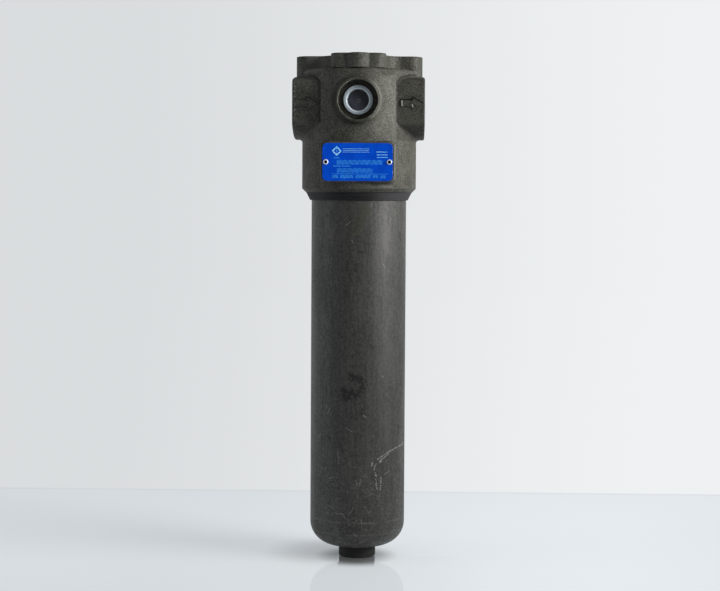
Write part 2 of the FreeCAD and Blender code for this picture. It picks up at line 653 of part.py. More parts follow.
def name_plate_rivets():
    """Two hollow drive rivets with domed heads."""
    shank_end = LOOSE_GAP - RIVET_LENGTH - PLATE_THICK
    rivets = []
    for side in (-1, 1):
        seat = V(side * RIVET_X, PLATE_FRONT_Y, PLATE_Z)
        rivets.append(turned_along([
            (RIVET_HOLE_R, shank_end, 0), (RIVET_SHANK_R, shank_end, 0), (RIVET_SHANK_R, 0, 0),
            (RIVET_HEAD_R, 0, 0), (RIVET_HEAD_R, RIVET_HEAD_HEIGHT, RIVET_DOME_R),
            (RIVET_HOLE_R, RIVET_HEAD_HEIGHT, 0)], -ALONG_Y, seat))
    return Part.Compound(rivets)


def shipping_plug(bore_r, flange, depth, axis, seat):
    """Hollow tapered push-in plug with a flange, open at its mouth, with a gate mark on its floor."""
    body_r = bore_r - LOOSE_GAP
    tip_r = body_r - PLUG_TAPER
    cavity_r = body_r - PLUG_WALL
    cavity_tip_r = tip_r - PLUG_WALL
    flange_r = bore_r + PLUG_RIM
    floor = PLUG_FLOOR - depth
    return turned_along([
        (0, -depth, 0), (tip_r, -depth, PLUG_TIP_EDGE_R), (body_r, 0, 0), (flange_r, 0, 0),
        (flange_r, flange, PLUG_RIM_EDGE_R), (cavity_r + PLUG_MOUTH, flange, PLUG_MOUTH_EDGE_R),
        (cavity_r, flange - PLUG_MOUTH, 0), (cavity_tip_r, floor, PLUG_FLOOR_EDGE_R), (GATE_R, floor, 0),
        (GATE_R, floor + GATE_HEIGHT, 0), (0, floor + GATE_HEIGHT, 0)], axis, seat)


def indicator_port_plug():
    seat = V(0, INDICATOR_FLOOR_Y, INDICATOR_Z)
    return shipping_plug(INDICATOR_BORE_R, INDICATOR_PLUG_FLANGE, INDICATOR_PLUG_DEPTH, -ALONG_Y, seat)


def outlet_port_plug():
    seat = V(PORT_FACE_X - SPOTFACE_DEPTH, 0, PORT_Z)
    return shipping_plug(PORT_THREAD_R, OUTLET_PLUG_FLANGE, OUTLET_PLUG_DEPTH, ALONG_X, seat)


def outlet_spigot():
    """Flanged nipple under the outlet column, on which the element is pushed."""
    neck_r = COLUMN_BORE_R - RUNNING_GAP
    flange_z = COLUMN_Z - SPIGOT_FLANGE
    tip_r = SPIGOT_R - SPIGOT_CHAMFER
    return turned(square([
        (SPIGOT_BORE_R, SPIGOT_END_Z), (tip_r, SPIGOT_END_Z), (SPIGOT_R, SPIGOT_END_Z + SPIGOT_CHAMFER),
        (SPIGOT_R, flange_z), (SPIGOT_FLANGE_R, flange_z), (SPIGOT_FLANGE_R, COLUMN_Z), (neck_r, COLUMN_Z),
        (neck_r, COLUMN_Z + SPIGOT_NECK), (SPIGOT_BORE_R, COLUMN_Z + SPIGOT_NECK)]))


def bypass_valve_body():
    """Cartridge with its seat at the bottom, a seal groove outside and a circlip groove inside."""
    bottom = BYPASS_Z - BYPASS_FLANGE
    seal_z = BYPASS_Z + SEAL_LAND
    seal_top_z = seal_z + SEAT_SEAL_WIDTH
    seal_r = BYPASS_BODY_R - SEAT_SEAL_DEPTH
    clip_top_z = CIRCLIP_Z + CIRCLIP_THICK + SEAL_GAP
    return turned(square([
        (SEAT_HOLE_R, bottom), (BYPASS_FLANGE_R, bottom), (BYPASS_FLANGE_R, BYPASS_Z),
        (BYPASS_BODY_R, BYPASS_Z), (BYPASS_BODY_R, seal_z), (seal_r, seal_z), (seal_r, seal_top_z),
        (BYPASS_BODY_R, seal_top_z), (BYPASS_BODY_R, BYPASS_TOP_Z), (BYPASS_INNER_R, BYPASS_TOP_Z),
        (BYPASS_INNER_R, clip_top_z), (CIRCLIP_GROOVE_R, clip_top_z), (CIRCLIP_GROOVE_R, CIRCLIP_Z),
        (BYPASS_INNER_R, CIRCLIP_Z), (BYPASS_INNER_R, SEAT_Z), (SEAT_HOLE_R, SEAT_Z)]), BYPASS_X)


def bypass_valve_o_ring():
    bottom = BYPASS_Z + SEAL_LAND
    inner_r = BYPASS_BODY_R - SEAT_SEAL_DEPTH
    return seal_ring(inner_r, BYPASS_BORE_R, bottom, bottom + SEAT_SEAL_WIDTH, BYPASS_X)


def bypass_valve_poppet():
    """Flat disc on the seat with a nose in the hole and a stem that guides the spring."""
    stem_top = SPRING_PLATE_Z + SPRING_PLATE_THICK + STEM_ABOVE_PLATE
    nose_r = SEAT_HOLE_R - LOOSE_GAP
    return turned([
        (0, SEAT_Z - POPPET_NOSE, 0), (nose_r - POPPET_NOSE / 2, SEAT_Z - POPPET_NOSE, 0),
        (nose_r, SEAT_Z, 0), (POPPET_R, SEAT_Z, 0), (POPPET_R, SPRING_Z, POPPET_EDGE_R),
        (STEM_R, SPRING_Z, 0), (STEM_R, stem_top, STEM_END_R), (0, stem_top, 0)], BYPASS_X)


def bypass_valve_spring():
    """Compression spring between the poppet and the spring plate."""
    bottom = SPRING_Z + SPRING_WIRE_R
    height = SPRING_HEIGHT - 2 * SPRING_WIRE_R
    helix = Part.makeHelix(height / SPRING_COILS, height, SPRING_MEAN_R)
    section = Part.Wire(Part.makeCircle(SPRING_WIRE_R, V(SPRING_MEAN_R, 0, 0), ALONG_Y))
    spring = Part.Wire(helix.Edges).makePipeShell([section], True, True)
    spring.translate(V(BYPASS_X, 0, bottom))
    return spring


def bypass_spring_plate():
    """Washer with a guide hole for the stem and a ring of flow holes."""
    top = SPRING_PLATE_Z + SPRING_PLATE_THICK
    cut_z = SPRING_PLATE_Z - OVERCUT
    cut_top = top + OVERCUT
    plate = upright_rod(BYPASS_INNER_R - RUNNING_GAP, SPRING_PLATE_Z, top, BYPASS_X)
    holes = [upright_rod(STEM_R + LOOSE_GAP, cut_z, cut_top, BYPASS_X)]
    flow_r = (BYPASS_INNER_R + STEM_R) / 2
    hole_r = SPRING_PLATE_HOLE_SHARE * (BYPASS_INNER_R - STEM_R) / 2
    for index in range(SPRING_PLATE_HOLES):
        angle = 2 * math.pi * index / SPRING_PLATE_HOLES
        hole_x = BYPASS_X + flow_r * math.cos(angle)
        hole_y = flow_r * math.sin(angle)
        holes.append(upright_rod(hole_r, cut_z, cut_top, hole_x, hole_y))
    return plate.cut(holes)


def bypass_circlip():
    """Open ring in the cartridge's groove."""
    outer_r = CIRCLIP_GROOVE_R - RUNNING_GAP
    top = CIRCLIP_Z + CIRCLIP_THICK
    cut_z = CIRCLIP_Z - OVERCUT
    ring = upright_rod(outer_r, CIRCLIP_Z, top, BYPASS_X)
    ring = ring.cut(upright_rod(outer_r - CIRCLIP_WIDTH, cut_z, top + OVERCUT, BYPASS_X))
    opening = Part.makeBox(outer_r + OVERCUT, CIRCLIP_OPENING, top + OVERCUT - cut_z,
                           V(BYPASS_X, -CIRCLIP_OPENING / 2, cut_z))
    return ring.cut(opening)


def element_top_cap():
    """Pressed end cap with a skirt over the pleats and a grooved hub round the spigot."""
    hub_r = HUB_BORE_R + HUB_WALL
    seal_top_z = HUB_SEAL_Z + HUB_SEAL_WIDTH
    skirt_z = CAP_BOTTOM_Z - CAP_SKIRT
    sheet_top = CAP_BOTTOM_Z + CAP_SHEET
    return turned([
        (CORE_INNER_R, CAP_BOTTOM_Z, 0), (CAP_INNER_R, CAP_BOTTOM_Z, 0), (CAP_INNER_R, skirt_z, 0),
        (CAP_R, skirt_z, 0), (CAP_R, CAP_TOP_Z, CAP_EDGE_R), (hub_r, CAP_TOP_Z, HUB_EDGE_R),
        (hub_r, HUB_TOP_Z, HUB_EDGE_R), (HUB_BORE_R, HUB_TOP_Z, HUB_EDGE_R),
        (HUB_BORE_R, seal_top_z, 0), (HUB_SEAL_R, seal_top_z, 0), (HUB_SEAL_R, HUB_SEAL_Z, 0),
        (HUB_BORE_R, HUB_SEAL_Z, 0), (HUB_BORE_R, CAP_TOP_Z, 0), (SPIGOT_BORE_R, CAP_TOP_Z, 0),
        (SPIGOT_BORE_R, sheet_top, 0), (CORE_INNER_R, sheet_top, 0)])


def element_o_ring():
    bottom = HUB_SEAL_Z + RUNNING_GAP
    return seal_ring(SPIGOT_R + RUNNING_GAP, HUB_SEAL_R - RUNNING_GAP, bottom,
                     bottom + HUB_SEAL_WIDTH - 2 * RUNNING_GAP)


def element_core_tube():
    """Sheet tube that holds the pleats up, with staggered rows of holes."""
    tube = upright_rod(CORE_R, ELEMENT_FLOOR_Z, CAP_BOTTOM_Z)
    tube = tube.cut(upright_rod(CORE_INNER_R, ELEMENT_FLOOR_Z - OVERCUT, CAP_BOTTOM_Z + OVERCUT))
    span = CAP_BOTTOM_Z - ELEMENT_FLOOR_Z - 2 * CORE_END_MARGIN
    rows = int(span / CORE_ROW_PITCH) + 1
    holes = []
    for row in range(rows):
        middle = V(0, 0, ELEMENT_FLOOR_Z + CORE_END_MARGIN + row * span / (rows - 1))
        for index in range(CORE_HOLE_COUNT):
            angle = math.pi * (2 * index + row % 2) / CORE_HOLE_COUNT
            way = V(math.cos(angle), math.sin(angle), 0)
            holes.append(rod(CORE_HOLE_R, middle + way * (CORE_INNER_R - 2 * OVERCUT),
                             middle + way * (CORE_R + OVERCUT)))
    return tube.cut(holes)


def pleated_wire(outer_r, inner_r):
    """Closed folded wire, each fold with a narrow flat tip outside and inside."""
    points = []
    step = 2 * math.pi / PLEATS
    tip = PLEAT_TIP_SHARE * step / 2
    for index in range(PLEATS):
        middle = index * step
        for angle, radius in ((middle - tip, outer_r), (middle + tip, outer_r),
                              (middle + step / 2 - tip, inner_r), (middle + step / 2 + tip, inner_r)):
            points.append(V(radius * math.cos(angle), radius * math.sin(angle), ELEMENT_FLOOR_Z))
    return Part.makePolygon(points + points[:1])


def element_media_pleats():
    """The folded filter medium: a wall of constant thickness folded in and out all the way round."""
    outer = pleated_wire(MEDIA_R, MEDIA_INNER_R + PLEAT_THICK)
    # The last argument, 2, keeps the corners of the inner line sharp
    inner = outer.makeOffset2D(-PLEAT_THICK, 2)
    wall = Part.Face(outer).cut(Part.Face(inner))
    return wall.extrude(V(0, 0, CAP_BOTTOM_Z - ELEMENT_FLOOR_Z))


def element_bottom_cap():
    """Closed end cap with a skirt over the pleats and a shallow dimple."""
    skirt_top = ELEMENT_FLOOR_Z + CAP_SKIRT
    dimple_z = ELEMENT_BOTTOM_Z + DIMPLE_DEPTH - CAP_SHEET
    return turned([
        (0, dimple_z, 0), (DIMPLE_R, dimple_z, DIMPLE_EDGE_R),
        (DIMPLE_R + DIMPLE_DEPTH, ELEMENT_BOTTOM_Z, DIMPLE_EDGE_R), (CAP_R, ELEMENT_BOTTOM_Z, CAP_EDGE_R),
        (CAP_R, skirt_top, 0), (CAP_INNER_R, skirt_top, 0), (CAP_INNER_R, ELEMENT_FLOOR_Z, 0),
        (0, ELEMENT_FLOOR_Z, 0)])


PIECES = {
    "head_casting": head_casting,
    "outlet_spigot": outlet_spigot,
    "bypass_valve_body": bypass_valve_body,
    "bypass_valve_o_ring": bypass_valve_o_ring,
    "bypass_valve_poppet": bypass_valve_poppet,
    "bypass_valve_spring": bypass_valve_spring,
    "bypass_spring_plate": bypass_spring_plate,
    "bypass_circlip": bypass_circlip,
    "name_plate": name_plate,
    "name_plate_rivets": name_plate_rivets,
    "indicator_port_plug": indicator_port_plug,
    "outlet_port_plug": outlet_port_plug,
    "bowl": bowl,
    "bowl_o_ring": bowl_o_ring,
    "bowl_backup_ring": bowl_backup_ring,
    "element_top_cap": element_top_cap,
    "element_o_ring": element_o_ring,
    "element_core_tube": element_core_tube,
    "element_media_pleats": element_media_pleats,
    "element_bottom_cap": element_bottom_cap,
}

os.makedirs("parts", exist_ok=True)
for node, make in PIECES.items():
    make().exportStep("parts/" + node + ".step")
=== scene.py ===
"""Looks of the hydraulic pressure filter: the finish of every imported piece, its screw threads, the
printed lines of its plate, and the plain table and soft light it is pictured in.

Metres, +Z up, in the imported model's own frame. The front faces -Y and oil flows from -X to +X.
"""
import json
import math
import bpy
import numpy as np
from mathutils import Matrix, Vector


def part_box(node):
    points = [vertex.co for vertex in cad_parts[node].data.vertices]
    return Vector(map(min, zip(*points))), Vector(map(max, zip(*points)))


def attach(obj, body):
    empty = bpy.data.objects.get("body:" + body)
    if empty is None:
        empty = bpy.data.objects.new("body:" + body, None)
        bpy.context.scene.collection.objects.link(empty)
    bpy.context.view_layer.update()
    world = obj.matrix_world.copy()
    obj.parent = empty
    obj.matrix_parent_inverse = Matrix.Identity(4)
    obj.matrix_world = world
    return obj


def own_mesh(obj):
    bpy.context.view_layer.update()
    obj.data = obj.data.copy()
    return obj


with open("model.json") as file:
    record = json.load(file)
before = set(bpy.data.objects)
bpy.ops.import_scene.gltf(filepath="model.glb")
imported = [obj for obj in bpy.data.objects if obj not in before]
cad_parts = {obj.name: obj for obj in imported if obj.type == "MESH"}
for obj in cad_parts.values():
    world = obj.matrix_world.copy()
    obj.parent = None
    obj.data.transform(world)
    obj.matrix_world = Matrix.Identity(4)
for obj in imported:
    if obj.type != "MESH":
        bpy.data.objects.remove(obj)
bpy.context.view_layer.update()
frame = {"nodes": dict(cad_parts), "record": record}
nodes = frame["nodes"]
scene = bpy.context.scene

MM = 0.001
HAIR = 0.05 * MM
UP = Vector((0, 0, 1))

# The picture's frame, in pixels, and the camera that took it
PICTURE_WIDTH = 720
PICTURE_HEIGHT = 591
FOCAL_LENGTH = 1550.0
AXIS_RAISED = 39.0
SENSOR_WIDTH = 36.0
CAMERA_DISTANCE = 1.4782
CAMERA_HEIGHT = 0.3440
CAMERA_AZIMUTH = math.radians(1.40)
CAMERA_YAW = math.radians(-0.053)
CAMERA_PITCH = math.radians(2.227)
CAMERA_ROLL = math.radians(0.319)

# Places on the filter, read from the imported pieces
HEAD_LOW, HEAD_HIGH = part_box("head_casting")
PLATE_LOW, PLATE_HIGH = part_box("name_plate")
BOWL_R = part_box("bowl")[1].x
HEAD_FACE_Z = HEAD_LOW.z
PAD_TOP_Z = HEAD_HIGH.z
PORT_FACE_X = HEAD_HIGH.x
INDICATOR_RIM_Y = HEAD_LOW.y
PLATE_FRONT_Y = PLATE_LOW.y
RIVET_X = PLATE_HIGH.x - 3.05 * MM
RIVET_HOLE_R = 1.45 * MM
PLATE_CENTRE_X = (PLATE_LOW.x + PLATE_HIGH.x) / 2
PLATE_CENTRE_Z = (PLATE_LOW.z + PLATE_HIGH.z) / 2
PORT_Z = HEAD_FACE_Z + 87.0 * MM
INDICATOR_Z = HEAD_FACE_Z + 92.3 * MM
CONE_TOP_Z = HEAD_FACE_Z + 7.0 * MM
STUB_TOP_Z = 12.0 * MM

# Machined parts of the casting
SPOTFACE_R = 20.5 * MM
PORT_BORE_R = 15.15 * MM
PORT_MOUTH_X = 1.9 * MM
PORT_THREAD_LENGTH = 19.0 * MM
PORT_PITCH = 2.309 * MM
COUNTERBORE_R = 18.3 * MM
INDICATOR_BORE_R = 11.2 * MM
INDICATOR_DEPTH = 26.5 * MM
INDICATOR_PITCH = 1.5 * MM
MOUNT_R = 47.0 * MM
MOUNT_HOLE_R = 4.25 * MM
MOUNT_THREAD_LENGTH = 15.0 * MM
MOUNT_PITCH = 1.5 * MM
BOWL_THREAD_R = 44.35 * MM
BOWL_THREAD_CREST_R = 44.98 * MM
BOWL_THREAD_LENGTH = 20.0 * MM
BOWL_PITCH = 2.0 * MM
SOCKET_TOP_Z = HEAD_FACE_Z + 33.0 * MM
SOCKET_R = 46.3 * MM

# Marks on the bowl, as columns and rows of the picture
LONG_SCRATCH = [(404.0, 441.6), (394.6, 448.3), (387.5, 452.3), (377.2, 459.5)]
SECOND_SCRATCH = [(388.6, 453.6), (379.2, 461.4)]
NICKS = [
    [(381.7, 458.6), (381.2, 461.2), (379.4, 463.2)], [(372.5, 462.4), (371.9, 466.0)],
    [(376.6, 463.6), (374.6, 466.6), (374.2, 470.4)], [(375.2, 472.4), (376.2, 476.4)],
    [(375.6, 479.8), (377.0, 488.9)], [(380.8, 477.4), (380.8, 483.4)], [(380.6, 485.6), (380.2, 489.4)],
]
CURLED_SCRATCHES = [
    [(335.3, 512.6), (337.5, 514.1), (340.6, 513.5), (343.3, 514.4), (344.6, 517.9)],
    [(348.2, 513.8), (351.8, 511.7)], [(352.7, 510.0), (353.0, 507.2)],
    [(360.5, 479.4), (361.2, 481.6), (359.6, 484.2)], [(355.6, 480.4), (357.2, 484.8)],
    [(337.0, 452.3), (338.8, 458.6), (338.2, 464.0)], [(323.8, 446.0), (323.4, 449.0)],
    [(345.9, 427.9), (352.0, 431.8)], [(363.0, 415.0), (366.0, 417.5)], [(382.0, 375.6), (383.2, 377.6)],
    [(327.2, 404.6), (326.2, 408.4)], [(330.0, 408.0), (327.4, 413.8)], [(320.6, 434.0), (317.6, 441.0)],
    [(322.0, 467.0), (320.4, 472.6)], [(329.0, 478.4), (334.0, 477.0)], [(389.4, 470.6), (384.4, 474.4)],
    [(394.8, 529.6), (391.6, 531.0)], [(353.0, 534.0), (357.4, 536.4)], [(382.5, 508.2), (382.6, 510.0)],
    [(361.0, 519.6), (361.6, 524.4)], [(371.8, 203.8), (371.4, 206.6)], [(346.0, 225.4), (350.6, 221.6)],
    [(383.2, 264.0), (384.6, 267.4)], [(352.0, 240.4), (353.0, 242.4)],
]
DARK_STAIN = [(350.9, 376.4), (359.7, 379.4), (363.2, 384.8), (361.0, 391.0), (356.6, 395.2), (349.2, 392.4),
              (343.6, 391.2), (347.6, 399.0)]
DARK_SPOTS = [
    [(365.0, 367.0), (365.4, 371.6)], [(370.2, 345.4), (373.4, 347.6)], [(358.6, 252.4), (364.8, 252.2)],
    [(355.6, 264.0), (355.2, 271.0)], [(347.4, 262.0), (347.0, 271.0)], [(352.2, 357.0), (353.0, 355.4)],
    [(400.0, 233.0), (400.4, 240.0)], [(398.6, 425.0), (398.0, 434.0)], [(362.0, 410.0), (361.6, 413.4)],
    [(327.0, 436.0), (331.0, 440.0)], [(339.6, 443.0), (342.4, 452.0)],
]
OIL_TINT = [(365.0, 212.0), (359.0, 220.0), (355.0, 230.0)]
RING_ROWS = (523.6, 535.6)
PICTURE_MIDDLE = 357.0

# Marks on the casting, as columns and rows of the picture
BOSS_EDGE_NICKS = [(294.4, 83.0), (294.4, 101.0), (294.5, 119.0)]
ARROW_NICKS = [[(402.2, 100.8), (402.2, 105.4)], [(412.4, 104.8), (412.8, 107.4)]]

# The raised arrows of the port bosses, from the middle of each boss's front
OUTLET_ARROW_X = PORT_FACE_X - 12.2 * MM
INLET_ARROW_X = 13.5 * MM - PORT_FACE_X
ARROW_Z = PORT_Z + 2.8 * MM
ARROW_TOP = [(-10.5 * MM, 3.4 * MM), (0.2 * MM, 3.4 * MM), (0.6 * MM, 5.9 * MM), (10.0 * MM, 0.5 * MM)]
ARROW_BOTTOM = [(-10.5 * MM, -3.3 * MM), (0.4 * MM, -3.3 * MM), (0.4 * MM, -6.2 * MM), (10.6 * MM, -0.4 * MM)]

# Other places on the casting
PORT_HALF_WIDTH = 40.0 * MM
HEAD_FLANK_X = 36.0 * MM
BODY_R = 54.1 * MM
PORT_END_DEPTH = 22.0 * MM
SOCKET_THREAD_TOP_Z = HEAD_FACE_Z + 23.0 * MM

# Parts of the plugs and the bypass valve
PLUG_GATE_R = 1.6 * MM
PLUG_CUP_R = 9.75 * MM
PLUG_LIP_R = 10.4 * MM
PLUG_GROOVE_R = 11.9 * MM

# The colour of the casting's painted shade, and where the casting is painted lighter or darker as painted light
# and shade. A pair is where a change starts and ends.
# The BOTTOM, TOP and HEIGHT values and the boss front's shade fade are heights over the ports' axis
PAINTED_SHADE_COLOUR = (0.010, 0.009, 0.006)
CHEEK_LEFT = (6.0 * MM, 20.0 * MM)
CHEEK_RIGHT = (33.0 * MM, 36.0 * MM)
CHEEK_BOTTOM = (-42.0 * MM, -24.0 * MM)
CHEEK_TOP = 27.0 * MM
CONE_MIDDLE_X = -5.0 * MM
CONE_FADE = (8.0 * MM, 36.0 * MM)
LEFT_LOBE_X = -41.0 * MM
LEFT_LOBE_HEIGHT = 33.5 * MM
BOSS_FRONT_SHADE_BOTTOM = -31.0 * MM
BOSS_FRONT_SHADE_TOP = 26.0 * MM
BOSS_FRONT_SHADE_FADE = (-26.0 * MM, -4.0 * MM)
INDICATOR_BOSS_R = 23.0 * MM
BOSS_SHADE_R = 21.3 * MM
BOSS_RIM_R = 20.6 * MM
BOSS_RIM_FADE = (6.0 * MM, 19.5 * MM)
PAD_FRONT_Y = -43.0 * MM
PAD_SIDE_REACH = 15.0 * MM
PAD_LEFT_X = -34.0 * MM
PAD_RIGHT_X = 34.2 * MM

# Where the corner between the casting's body and each boss is painted dark as painted shade: beyond CORNER_X
# and inside lines given as their rise over the port's axis there and their slope; a line below the axis has a
# minus
CORNER_X = 34.5 * MM
CORNER_SIDES = [(22.4 * MM, 1.39), (27.1 * MM, 0.278), (-14.6 * MM, 0.724)]

# Heights on the bowl between which its dust fades
DUSTY_HEIGHTS = (50.0 * MM, 150.0 * MM)
CORNER_DUST_HEIGHTS = (15.0 * MM, 30.0 * MM)

# The print on the plate, in millimetres from its centre. A bar is (height, left, right); cells are (middle
# height, tall, left, wide, pitch, how many in each group)
PRINT_HEIGHT = 0.025 * MM
THIN_LINE = 0.36
THICK_LINE = 0.60
SIGN_LINE = 2.0 * THICK_LINE
SIGN_AT = (-19.1, 10.0)
SIGN_REACH = 3.7
BAND_BARS = [(12.0, -13.6, 10.6), (10.4, -13.6, 10.2), (9.0, -13.6, 10.6)]
SMALL_BARS = [(9.2, 17.0, 27.4), (6.6, 17.6, 27.2), (4.2, 17.6, 27.4), (3.7, -22.0, -16.6),
              (-3.8, -22.2, -15.4), (-3.8, -14.4, -6.4)]
RULE = (-10.9, -24.0, 28.2)
LONG_CELLS = (-0.3, 3.7, -18.6, 1.15, 2.2, [19])
SHORT_CELLS = (-7.7, 3.5, -18.6, 1.15, 2.2, [15])
LAST_CELLS = (-13.3, 2.5, -22.6, 0.95, 1.75, [3, 7, 8, 3, 3])
SIGN_DASHES = (-0.62, 0.0, 0.62)
SIGN_DASH_HALF = 0.16

# The pale room: colours at the left and the right, and between which sideways shares they change
PALE_SIDES = (-0.2, 0.2)
PALE_LEFT = (0.70, 0.72, 0.73)
PALE_RIGHT = (0.86, 0.88, 0.89)
DIM_RIGHT = (0.60, 0.61, 0.62)
ROOM_TINT = (0.95, 0.98, 1.0, 1.0)
ROOM_LIGHT = 0.35

# The table: half its width, its back edge, its colours, how much it glows, and the shade round the stub
TABLE_HALF = 4.0
TABLE_EDGE_Y = 0.32
TABLE_COLOUR = (0.52, 0.54, 0.56)
SHADED_TABLE_COLOUR = (0.10, 0.10, 0.10)
TABLE_GLOW = (0.80, 0.84, 0.875)
GLOW_LEFT_RIGHT = (0.49, 0.70)
SHADE_AT = (-1.0 * MM, -4.0 * MM)
SHADE_REACH = (16.0 * MM, 44.0 * MM)
FAR_SHADE_AT = (-28.0 * MM, 12.0 * MM)
FAR_SHADE_REACH = (14.0 * MM, 72.0 * MM)

# Mirroring in front of the foot: its share, the distance from the axis at which it fades, and its half width
STUB_MIRROR = (0.66, (28.0 * MM, 57.0 * MM), (16.4 * MM, 18.0 * MM))
BOWL_MIRROR = (0.13, (160.0 * MM, 320.0 * MM), (60.0 * MM, 130.0 * MM))


def camera_axes():
    """Right, up and ahead of the camera: level, then pitched down and rolled a little."""
    turn = CAMERA_AZIMUTH + CAMERA_YAW
    level = Vector((-math.sin(turn), math.cos(turn), 0))
    ahead = level * math.cos(CAMERA_PITCH) - UP * math.sin(CAMERA_PITCH)
    side = level.cross(UP)
    top = side.cross(ahead)
    right = side * math.cos(CAMERA_ROLL) + top * math.sin(CAMERA_ROLL)
    return right, right.cross(ahead), ahead


def place_camera():
    """The camera at the picture's place, with the picture's lens and framing."""
    right, top, ahead = camera_axes()
    lens = bpy.data.cameras.new("camera")
    lens.sensor_width = SENSOR_WIDTH
    lens.lens = FOCAL_LENGTH / PICTURE_WIDTH * SENSOR_WIDTH
    lens.shift_y = -AXIS_RAISED / PICTURE_WIDTH
    camera = bpy.data.objects.new("camera", lens)
    scene.collection.objects.link(camera)
    turned = Matrix((right, top, -ahead)).transposed().to_4x4()
    camera.matrix_world = Matrix.Translation(camera_place()) @ turned
    scene.camera = camera


def camera_place():
    """Where the camera stands, from its distance, height and angle round the filter."""
    return Vector((math.sin(CAMERA_AZIMUTH) * CAMERA_DISTANCE, -math.cos(CAMERA_AZIMUTH) * CAMERA_DISTANCE,
                   CAMERA_HEIGHT))


def seen_at(node, column, row):
    """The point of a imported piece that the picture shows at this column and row."""
    right, top, ahead = camera_axes()
    across = (column - PICTURE_WIDTH / 2) / FOCAL_LENGTH
    above = (PICTURE_HEIGHT / 2 - AXIS_RAISED - row) / FOCAL_LENGTH
    ray = (ahead + right * across + top * above).normalized()
    found, point = nodes[node].ray_cast(camera_place(), ray)[:2]
    if not found:
        raise ValueError(f"{node} isn't seen at {column}, {row}")
    return point


def unrolled(point):
    """A point of the bowl's wall on the wall unrolled flat: (arc, 0, height)."""
    return Vector((math.atan2(point.x, -point.y) * BOWL_R, 0, point.z))


class Formula:
    """A node tree written as formulas: each call adds a node and gives its output."""

    def __init__(self, tree):
        self.tree = tree
        self.tree.nodes.clear()

    def node(self, kind, *values, **settings):
        """A new node with these settings, and these values on its first inputs."""
        made = self.tree.nodes.new(kind)
        for name, setting in settings.items():
            setattr(made, name, setting)
        for socket, value in zip(made.inputs, values):
            self.feed(socket, value)
        return made

    def feed(self, socket, value):
        """Links an output to the socket, or sets a number, a point or a colour on it."""
        if isinstance(value, bpy.types.NodeSocket):
            self.tree.links.new(value, socket)
        else:
            socket.default_value = value

    def calc(self, operation, *values):
        return self.node("ShaderNodeMath", *values, operation=operation).outputs[0]

    def joined(self, operation, values):
        """All the values joined by an operation of two, from the left."""
        result = values[0]
        for value in values[1:]:
            result = self.calc(operation, result, value)
        return result

    def total(self, *values):
        return self.joined("ADD", values)

    def product(self, *values):
        return self.joined("MULTIPLY", values)

    def most(self, *values):
        return self.joined("MAXIMUM", values)

    def least(self, *values):
        return self.joined("MINIMUM", values)

    def sum_of(self, *weighted):
        """The sum of (value, weight) pairs."""
        return self.total(*[self.product(value, weight) for value, weight in weighted])

    def less(self, first, second):
        return self.calc("SUBTRACT", first, second)

    def size(self, value):
        return self.calc("ABSOLUTE", value)

    def inverse(self, value):
        return self.less(1.0, value)

    def vector_calc(self, operation, *values, number=False):
        made = self.node("ShaderNodeVectorMath", *values, operation=operation)
        return made.outputs["Value" if number else "Vector"]

    def point_of(self, x, y, z):
        return self.node("ShaderNodeCombineXYZ", x, y, z).outputs[0]

    def parts(self, point):
        return tuple(self.node("ShaderNodeSeparateXYZ", point).outputs)

    def step(self, value, low, high, at_low=0.0, at_high=1.0):
        """A smooth change from at_low to at_high while the value goes from low to high."""
        made = self.node("ShaderNodeMapRange", value, low, high, at_low, at_high,
                         interpolation_type="SMOOTHSTEP")
        return made.outputs["Result"]

    def fade(self, share, at_none, at_all):
        """A smooth change from at_none to at_all while the share goes from 0 to 1."""
        return self.step(share, 0.0, 1.0, at_none, at_all)

    def mix(self, share, first, second):
        """The first colour where share is 0, the second where it is 1."""
        made = self.node("ShaderNodeMix", data_type="RGBA")
        self.feed(made.inputs[0], share)
        for socket, colour in ((made.inputs[6], first), (made.inputs[7], second)):
            self.feed(socket, colour if isinstance(colour, bpy.types.NodeSocket) else (*colour, 1.0))
        return made.outputs[2]

    def mix_value(self, share, first, second):
        """The first number where share is 0, the second where it is 1."""
        made = self.node("ShaderNodeMix", data_type="FLOAT")
        for socket, value in ((made.inputs[0], share), (made.inputs[2], first), (made.inputs[3], second)):
            self.feed(socket, value)
        return made.outputs[0]

    def blend_shaders(self, share, first, second):
        """The first shader where share is 0, the second where it is 1."""
        return self.node("ShaderNodeMixShader", share, first, second).outputs[0]


